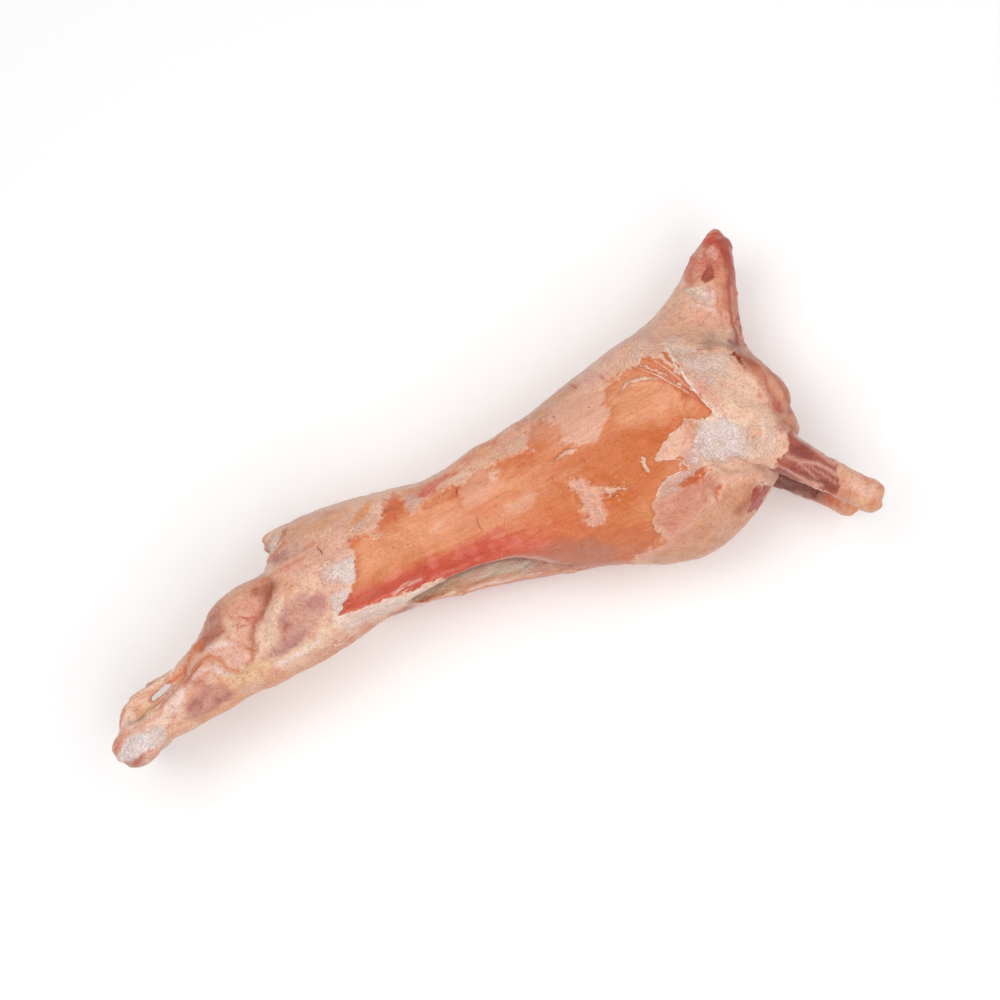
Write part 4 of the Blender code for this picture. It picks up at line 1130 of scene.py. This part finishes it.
def skin_material():
    """Raw lamb: a pale cover over a bare orange sheet, with mottles, fibres, grain and a moist gloss."""
    shader = Shader("raw_lamb_skin")
    wet, flecks, inside = shader.channels(shader.attribute("finish"))
    depth, width, crispness = shader.channels(shader.attribute("torn_edge"))
    outside = 1 - inside
    mottle = shader.noise(70, 4, roughness=0.62, distortion=0.4)
    blotch = shader.noise(135, 3, roughness=0.6)
    speckle = shader.noise(330, 3)
    grain = shader.noise(640, 2)
    fibres = shader.noise(9, 3, shader.stretched((1, 14, 14)))
    fine_fibres = shader.noise(26, 3, shader.stretched((1, 15, 15)))
    streaks = shader.noise(20, 4, shader.stretched((1, 5, 5)), roughness=0.6, distortion=0.3)
    web = shader.noise(95, 3, shader.stretched((0.6, 1, 1)), roughness=0.6, distortion=0.7)
    veins = shader.noise(38, 4, roughness=0.55, distortion=1.2)

    # The torn edge, made lacy by the noises
    lace = (speckle - 0.5) * 5 + (blotch - 0.5) * 7
    depth = (depth - 0.5) * (2 * EDGE_REACH) + lace * (0.35 + 2.2 * width)
    bare = shader.step(depth * crispness, -0.35 * CRISP_EDGE, 0.35 * CRISP_EDGE)
    near_edge = shader.step(shader.absolute(depth * crispness), 2.6, 0.4)

    # The pale cover: light and dark mottles, a pale web, red veins and specks, grain and lumps of white fat
    cover = shader.attribute("cover_paint")
    cover = shader.tint(shader.step(mottle, 0.48, 0.34) * 0.55 * outside, cover, (0.88, 0.74, 0.68))
    cover = shader.tint(shader.step(mottle, 0.52, 0.68) * 0.6, cover, (1.06, 1.15, 1.17))
    cover = shader.tint(shader.step(blotch, 0.55, 0.68) * 0.5 * outside, cover, (0.88, 0.7, 0.68))
    cover = shader.tint(shader.step(blotch, 0.45, 0.32) * 0.6, cover, (1.05, 1.14, 0.98))
    cover = shader.tint(shader.line(web, 0.03) * 0.7, cover, (1.05, 1.18, 1.22))
    cover = shader.tint(shader.line(veins, 0.008) * 0.5 * outside, cover, (0.85, 0.6, 0.52))
    cover = shader.tint(shader.step(speckle, 0.57, 0.68) * 0.8 * outside, cover, (0.88, 0.66, 0.56))
    cover = shader.tint(shader.step(fine_fibres, 0.54, 0.72) * 0.6, cover, (1.05, 1.16, 1.2))
    cover = shader.tint(shader.step(grain, 0.53, 0.66) * 0.7 * outside, cover, (0.92, 0.78, 0.72))
    cover = shader.tint(shader.step(grain, 0.47, 0.34) * 0.7, cover, (1.05, 1.15, 1.18))
    # A painted highlight along the cover's torn edge
    cover = shader.tint(near_edge * 0.5 * outside, cover, (1.04, 1.12, 1.14))
    lumps = 0.4 * blotch + 0.4 * speckle + 0.2 * grain + 0.2 * flecks
    cover = shader.mix(shader.step(lumps, 0.59, 0.78) * 0.8, cover, colour_of(LILAC))

    # The bare sheet: light and dark fibres, streaks, grain and pale specks
    under = shader.attribute("bare_paint")
    under = shader.tint(shader.step(fibres, 0.48, 0.72) * 0.6, under, (1.08, 1.14, 1.18))
    under = shader.tint(shader.step(fine_fibres, 0.5, 0.74) * 0.6, under, (0.92, 0.74, 0.66))
    under = shader.tint(shader.step(fine_fibres, 0.44, 0.3) * 0.5, under, (1.06, 1.25, 1.4))
    under = shader.tint(shader.step(mottle, 0.52, 0.68) * 0.5, under, (1.06, 1.14, 1.2))
    under = shader.tint(shader.line(streaks, 0.018) * 0.8, under, (1.07, 1.25, 1.4))
    under = shader.tint(shader.step(grain, 0.53, 0.66) * 0.6, under, (0.95, 0.84, 0.76))
    under = shader.tint(shader.step(streaks, 0.6, 0.72) * 0.5, under, (0.94, 0.8, 0.72))
    under = shader.tint(shader.step(speckle, 0.6, 0.74) * 0.5, under, (1.06, 1.25, 1.4))
    under = shader.tint(near_edge * 0.3 * outside, under, (0.9, 0.7, 0.6))

    height = 0.7 * speckle + 0.3 * grain + 0.6 * fibres + 0.4 * fine_fibres + 0.9 * mottle + 0.7 * blotch
    height = height + 0.5 * (1 - bare) * outside + 0.5 * shader.step(lumps, 0.58, 0.78)
    return shader.finish(
        Base_Color=shader.mix(bare, cover, under),
        Roughness=0.47 - 0.14 * wet + 0.2 * (speckle - 0.5),
        Coat_Weight=0.08 + 0.5 * wet,
        Coat_Roughness=0.16,
        Specular_IOR_Level=0.4,
        Subsurface_Weight=0.08,
        Subsurface_Radius=(0.9, 0.35, 0.2),
        Subsurface_Scale=0.008,
        Normal=shader.bump(height, SKIN_BUMP),
    )


def make_side(name, mesh, side, material):
    """One side of the carcass, closed with a flat face where it meets the other."""
    bm = bmesh.new()
    bm.from_mesh(mesh)
    cut = bmesh.ops.bisect_plane(bm, geom=[*bm.verts, *bm.edges, *bm.faces], dist=WELD * MM,
                                 plane_co=MIDDLE * MM, plane_no=(0, 0, side), clear_inner=True)
    rim = [part for part in cut["geom_cut"] if isinstance(part, bmesh.types.BMEdge)]
    for edge in rim:
        edge.smooth = False
    bmesh.ops.triangle_fill(bm, edges=rim, use_beauty=True, normal=(0, 0, -side))
    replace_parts(new_piece(name, bm, material), CARCASS)


def make_carcass():
    """The whole carcass, sculpted and painted in one, then halved, so that no piece has too many faces."""
    mesh = carcass_mesh()
    skin = Skin(mesh)
    shape_skin(skin)
    paint_skin(skin)
    material = skin_material()
    make_side("near_side", mesh, 1, material)
    make_side("far_side", mesh, -1, material)
    return skin


class Spots:
    """Finds places on the sculpted skin, on the near side or on the far one."""

    def __init__(self, skin):
        self.skin = skin
        self.trees = {}
        for side in (1, -1):
            shown = (skin.points[:, 2] * side > 0) & (skin.normals[:, 2] * side > 0) & (skin.inside < 0.5)
            rows = np.flatnonzero(shown)
            tree = KDTree(len(rows))
            for row in rows:
                tree.insert((*skin.places[row], 0), int(row))
            tree.balance()
            self.trees[side] = tree

    def find(self, place, side):
        """The point and the normal of the skin at a place seen from one side."""
        found = self.trees[side].find_n((*place, 0), NEAR_SPOTS)
        rows = [row for _, row, _ in found]
        weights = np.array([1 / (0.2 + distance) for _, _, distance in found])
        weights /= weights.sum()
        normal = Vector(weights @ self.skin.normals[rows]).normalized()
        return Vector(weights @ self.skin.points[rows]), normal


def walk(path, step):
    """Places at even steps along an open line."""
    places = [Vector(path[0])]
    for start, end in zip(path, path[1:]):
        start, end = Vector(start), Vector(end)
        count = max(1, round((end - start).length / step))
        places += [start.lerp(end, (i + 1) / count) for i in range(count)]
    return places


def eased(points, passes=2):
    """Takes the corners off a line of points and keeps its ends."""
    for _ in range(passes):
        inner = [(a + 2 * b + c) / 4 for a, b, c in zip(points, points[1:], points[2:])]
        points = [points[0], *inner, points[-1]]
    return points


def make_strands(name, lines, spots, wobble, material, seed):
    """Thin cords half sunk in the skin, on both sides, with tapered ends."""
    rng = np.random.default_rng(seed)
    curve = bpy.data.curves.new(name, "CURVE")
    curve.dimensions = "3D"
    curve.bevel_depth = MM
    curve.bevel_resolution = 1
    curve.use_fill_caps = True
    for side in (1, -1):
        for radius, path in lines:
            places = eased([Vector(place) for place in walk(path, STRAND_STEP)], 4)
            drift = rng.normal(0, wobble, (len(places), 2))
            places = [place + Vector(move) for place, move in zip(places, drift)]
            found = [spots.find(place, side) for place in eased(places)]
            points = eased([point - normal * STRAND_SINK * radius for point, normal in found])
            for point in points:
                point.z = max(point.z, TABLE_ROOM * radius - LIE_DEPTH)
            spline = curve.splines.new("POLY")
            spline.points.add(len(points) - 1)
            for index, (knot, point) in enumerate(zip(spline.points, points)):
                share = index / (len(points) - 1)
                taper = min(1, 0.25 + 4 * share * (1 - share))
                knot.co = (*((point + Vector(MIDDLE)) * MM), 1)
                knot.radius = radius * taper * rng.uniform(0.8, 1.25)
    raw = bpy.data.objects.new(name, curve)
    bpy.context.scene.collection.objects.link(raw)
    mesh = bpy.data.meshes.new_from_object(raw.evaluated_get(bpy.context.evaluated_depsgraph_get()))
    bpy.data.objects.remove(raw)
    bm = bmesh.new()
    bm.from_mesh(mesh)
    bmesh.ops.remove_doubles(bm, verts=bm.verts, dist=WELD * MM)
    bmesh.ops.recalc_face_normals(bm, faces=bm.faces)
    return new_piece(name, bm, material)


def make_crumbs(spots, material):
    """Crumbs of fat that stick to the skin."""
    rng = np.random.default_rng(7)
    bm = bmesh.new()
    for side in (1, -1):
        for count, size, scatter, middle in CRUMBS:
            for _ in range(count):
                point, normal = spots.find(Vector(middle) + Vector(rng.normal(0, 0.5 * scatter, 2)), side)
                point.z = max(point.z, TABLE_ROOM * size - LIE_DEPTH)
                half = size * rng.uniform(0.5, 1.1)
                sizes = (half * rng.uniform(1, 2), half * rng.uniform(0.7, 1.2), 0.55 * half, 1)
                turn = normal.to_track_quat("Z", "X").to_matrix().to_4x4()
                spin = Matrix.Rotation(rng.uniform(0, math.tau), 4, "Z")
                place = Matrix.Scale(MM, 4) @ Matrix.Translation(point + Vector(MIDDLE))
                matrix = place @ turn @ spin @ Matrix.Diagonal(sizes)
                made = bmesh.ops.create_icosphere(bm, subdivisions=1, radius=1, matrix=matrix)
                for vert in made["verts"]:
                    vert.co += Vector(rng.normal(0, 0.12 * half * MM, 3))
    return new_piece("fat_crumbs", bm, material)


def strand_material(name, colour, other, roughness):
    """A moist fibre whose colour wanders between two; it also serves the pale cords of painted highlight.
    """
    shader = Shader(name)
    wander = shader.noise(120, 3)
    speckle = shader.noise(600, 2)
    paint = shader.mix(shader.step(wander, 0.35, 0.65), colour_of(colour), colour_of(other))
    return shader.finish(
        Base_Color=paint,
        Roughness=roughness + 0.2 * (speckle - 0.5),
        Coat_Weight=0.3,
        Coat_Roughness=0.2,
        Subsurface_Weight=0.1,
        Subsurface_Radius=(0.9, 0.4, 0.25),
        Subsurface_Scale=0.005,
        Normal=shader.bump(wander + 0.5 * speckle, CORD_BUMP),
    )


def make_details(skin):
    """Rolled edges, lines of fascia, pale cords of painted highlight, vessels and crumbs of fat on the
    skin.
    """
    spots = Spots(skin)
    pale = strand_material("torn_edge", FROST, PALE_ROSE, 0.45)
    make_strands("rolled_edges", ROLLED_EDGES, spots, 0.7, pale, 1)
    fascia_and_highlight = strand_material("fascia_and_highlight_line", CREAM, PALE_ROSE, 0.4)
    make_strands("fascia_and_highlight_lines", FASCIA_AND_HIGHLIGHT_LINES, spots, 0.25, fascia_and_highlight, 2)
    vessel = strand_material("vessel", BLOOD, CREASE_BROWN, 0.4)
    make_strands("vessels", VESSELS, spots, 0.4, vessel, 3)
    make_crumbs(spots, strand_material("fat_crumb", CREAM, PALE_ROSE, 0.5))


def make_stage():
    """A plain pale table under the carcass."""
    bm = bmesh.new()
    bmesh.ops.create_grid(bm, x_segments=1, y_segments=1, size=FLOOR_HALF)
    mesh = bpy.data.meshes.new("floor")
    bm.to_mesh(mesh)
    bm.free()
    shader = Shader("pale_floor")
    mesh.materials.append(shader.finish(Base_Color=FLOOR_WHITE, Roughness=0.8, Emission_Color=(1, 1, 1, 1),
                                        Emission_Strength=FLOOR_GLOW))
    floor = bpy.data.objects.new("floor", mesh)
    bpy.context.scene.collection.objects.link(floor)


def aimed(obj, place, target):
    obj.location = place
    obj.rotation_euler = (Vector(target) - Vector(place)).to_track_quat("-Z", "Y").to_euler()
    bpy.context.scene.collection.objects.link(obj)


def make_lights():
    """Large soft lamps and an even white surround."""
    for name, place, width, power in LAMPS:
        lamp = bpy.data.lights.new(name, "AREA")
        lamp.size = width
        lamp.energy = power
        aimed(bpy.data.objects.new(name, lamp), place, LAMP_TARGET)
    world = bpy.data.worlds.new("studio")
    world.use_nodes = True
    world.node_tree.nodes["Background"].inputs["Color"].default_value = (1, 1, 1, 1)
    world.node_tree.nodes["Background"].inputs["Strength"].default_value = WORLD_LIGHT
    bpy.context.scene.world = world
    bpy.context.scene.view_settings.view_transform = "Standard"


def make_camera():
    """Looks down at the shown flank, with the carcass's length rising to the right."""
    level = Vector((0, math.sin(VIEW_HEIGHT), math.cos(VIEW_HEIGHT)))
    back = Vector((0, -math.cos(VIEW_HEIGHT), math.sin(VIEW_HEIGHT)))
    right = Vector((math.cos(VIEW_ROLL), 0, 0)) - math.sin(VIEW_ROLL) * level
    up = Vector((math.sin(VIEW_ROLL), 0, 0)) + math.cos(VIEW_ROLL) * level
    turn = Matrix((right, up, back)).transposed().to_4x4()
    lens = bpy.data.cameras.new("camera")
    lens.lens = LENS
    lens.sensor_width = SENSOR
    camera = bpy.data.objects.new("camera", lens)
    place = (Vector(MIDDLE) + back * VIEW_DISTANCE) * MM
    camera.matrix_world = Matrix.Translation(place) @ turn
    bpy.context.scene.collection.objects.link(camera)
    bpy.context.scene.camera = camera


make_details(make_carcass())
make_stage()
make_lights()
make_camera()
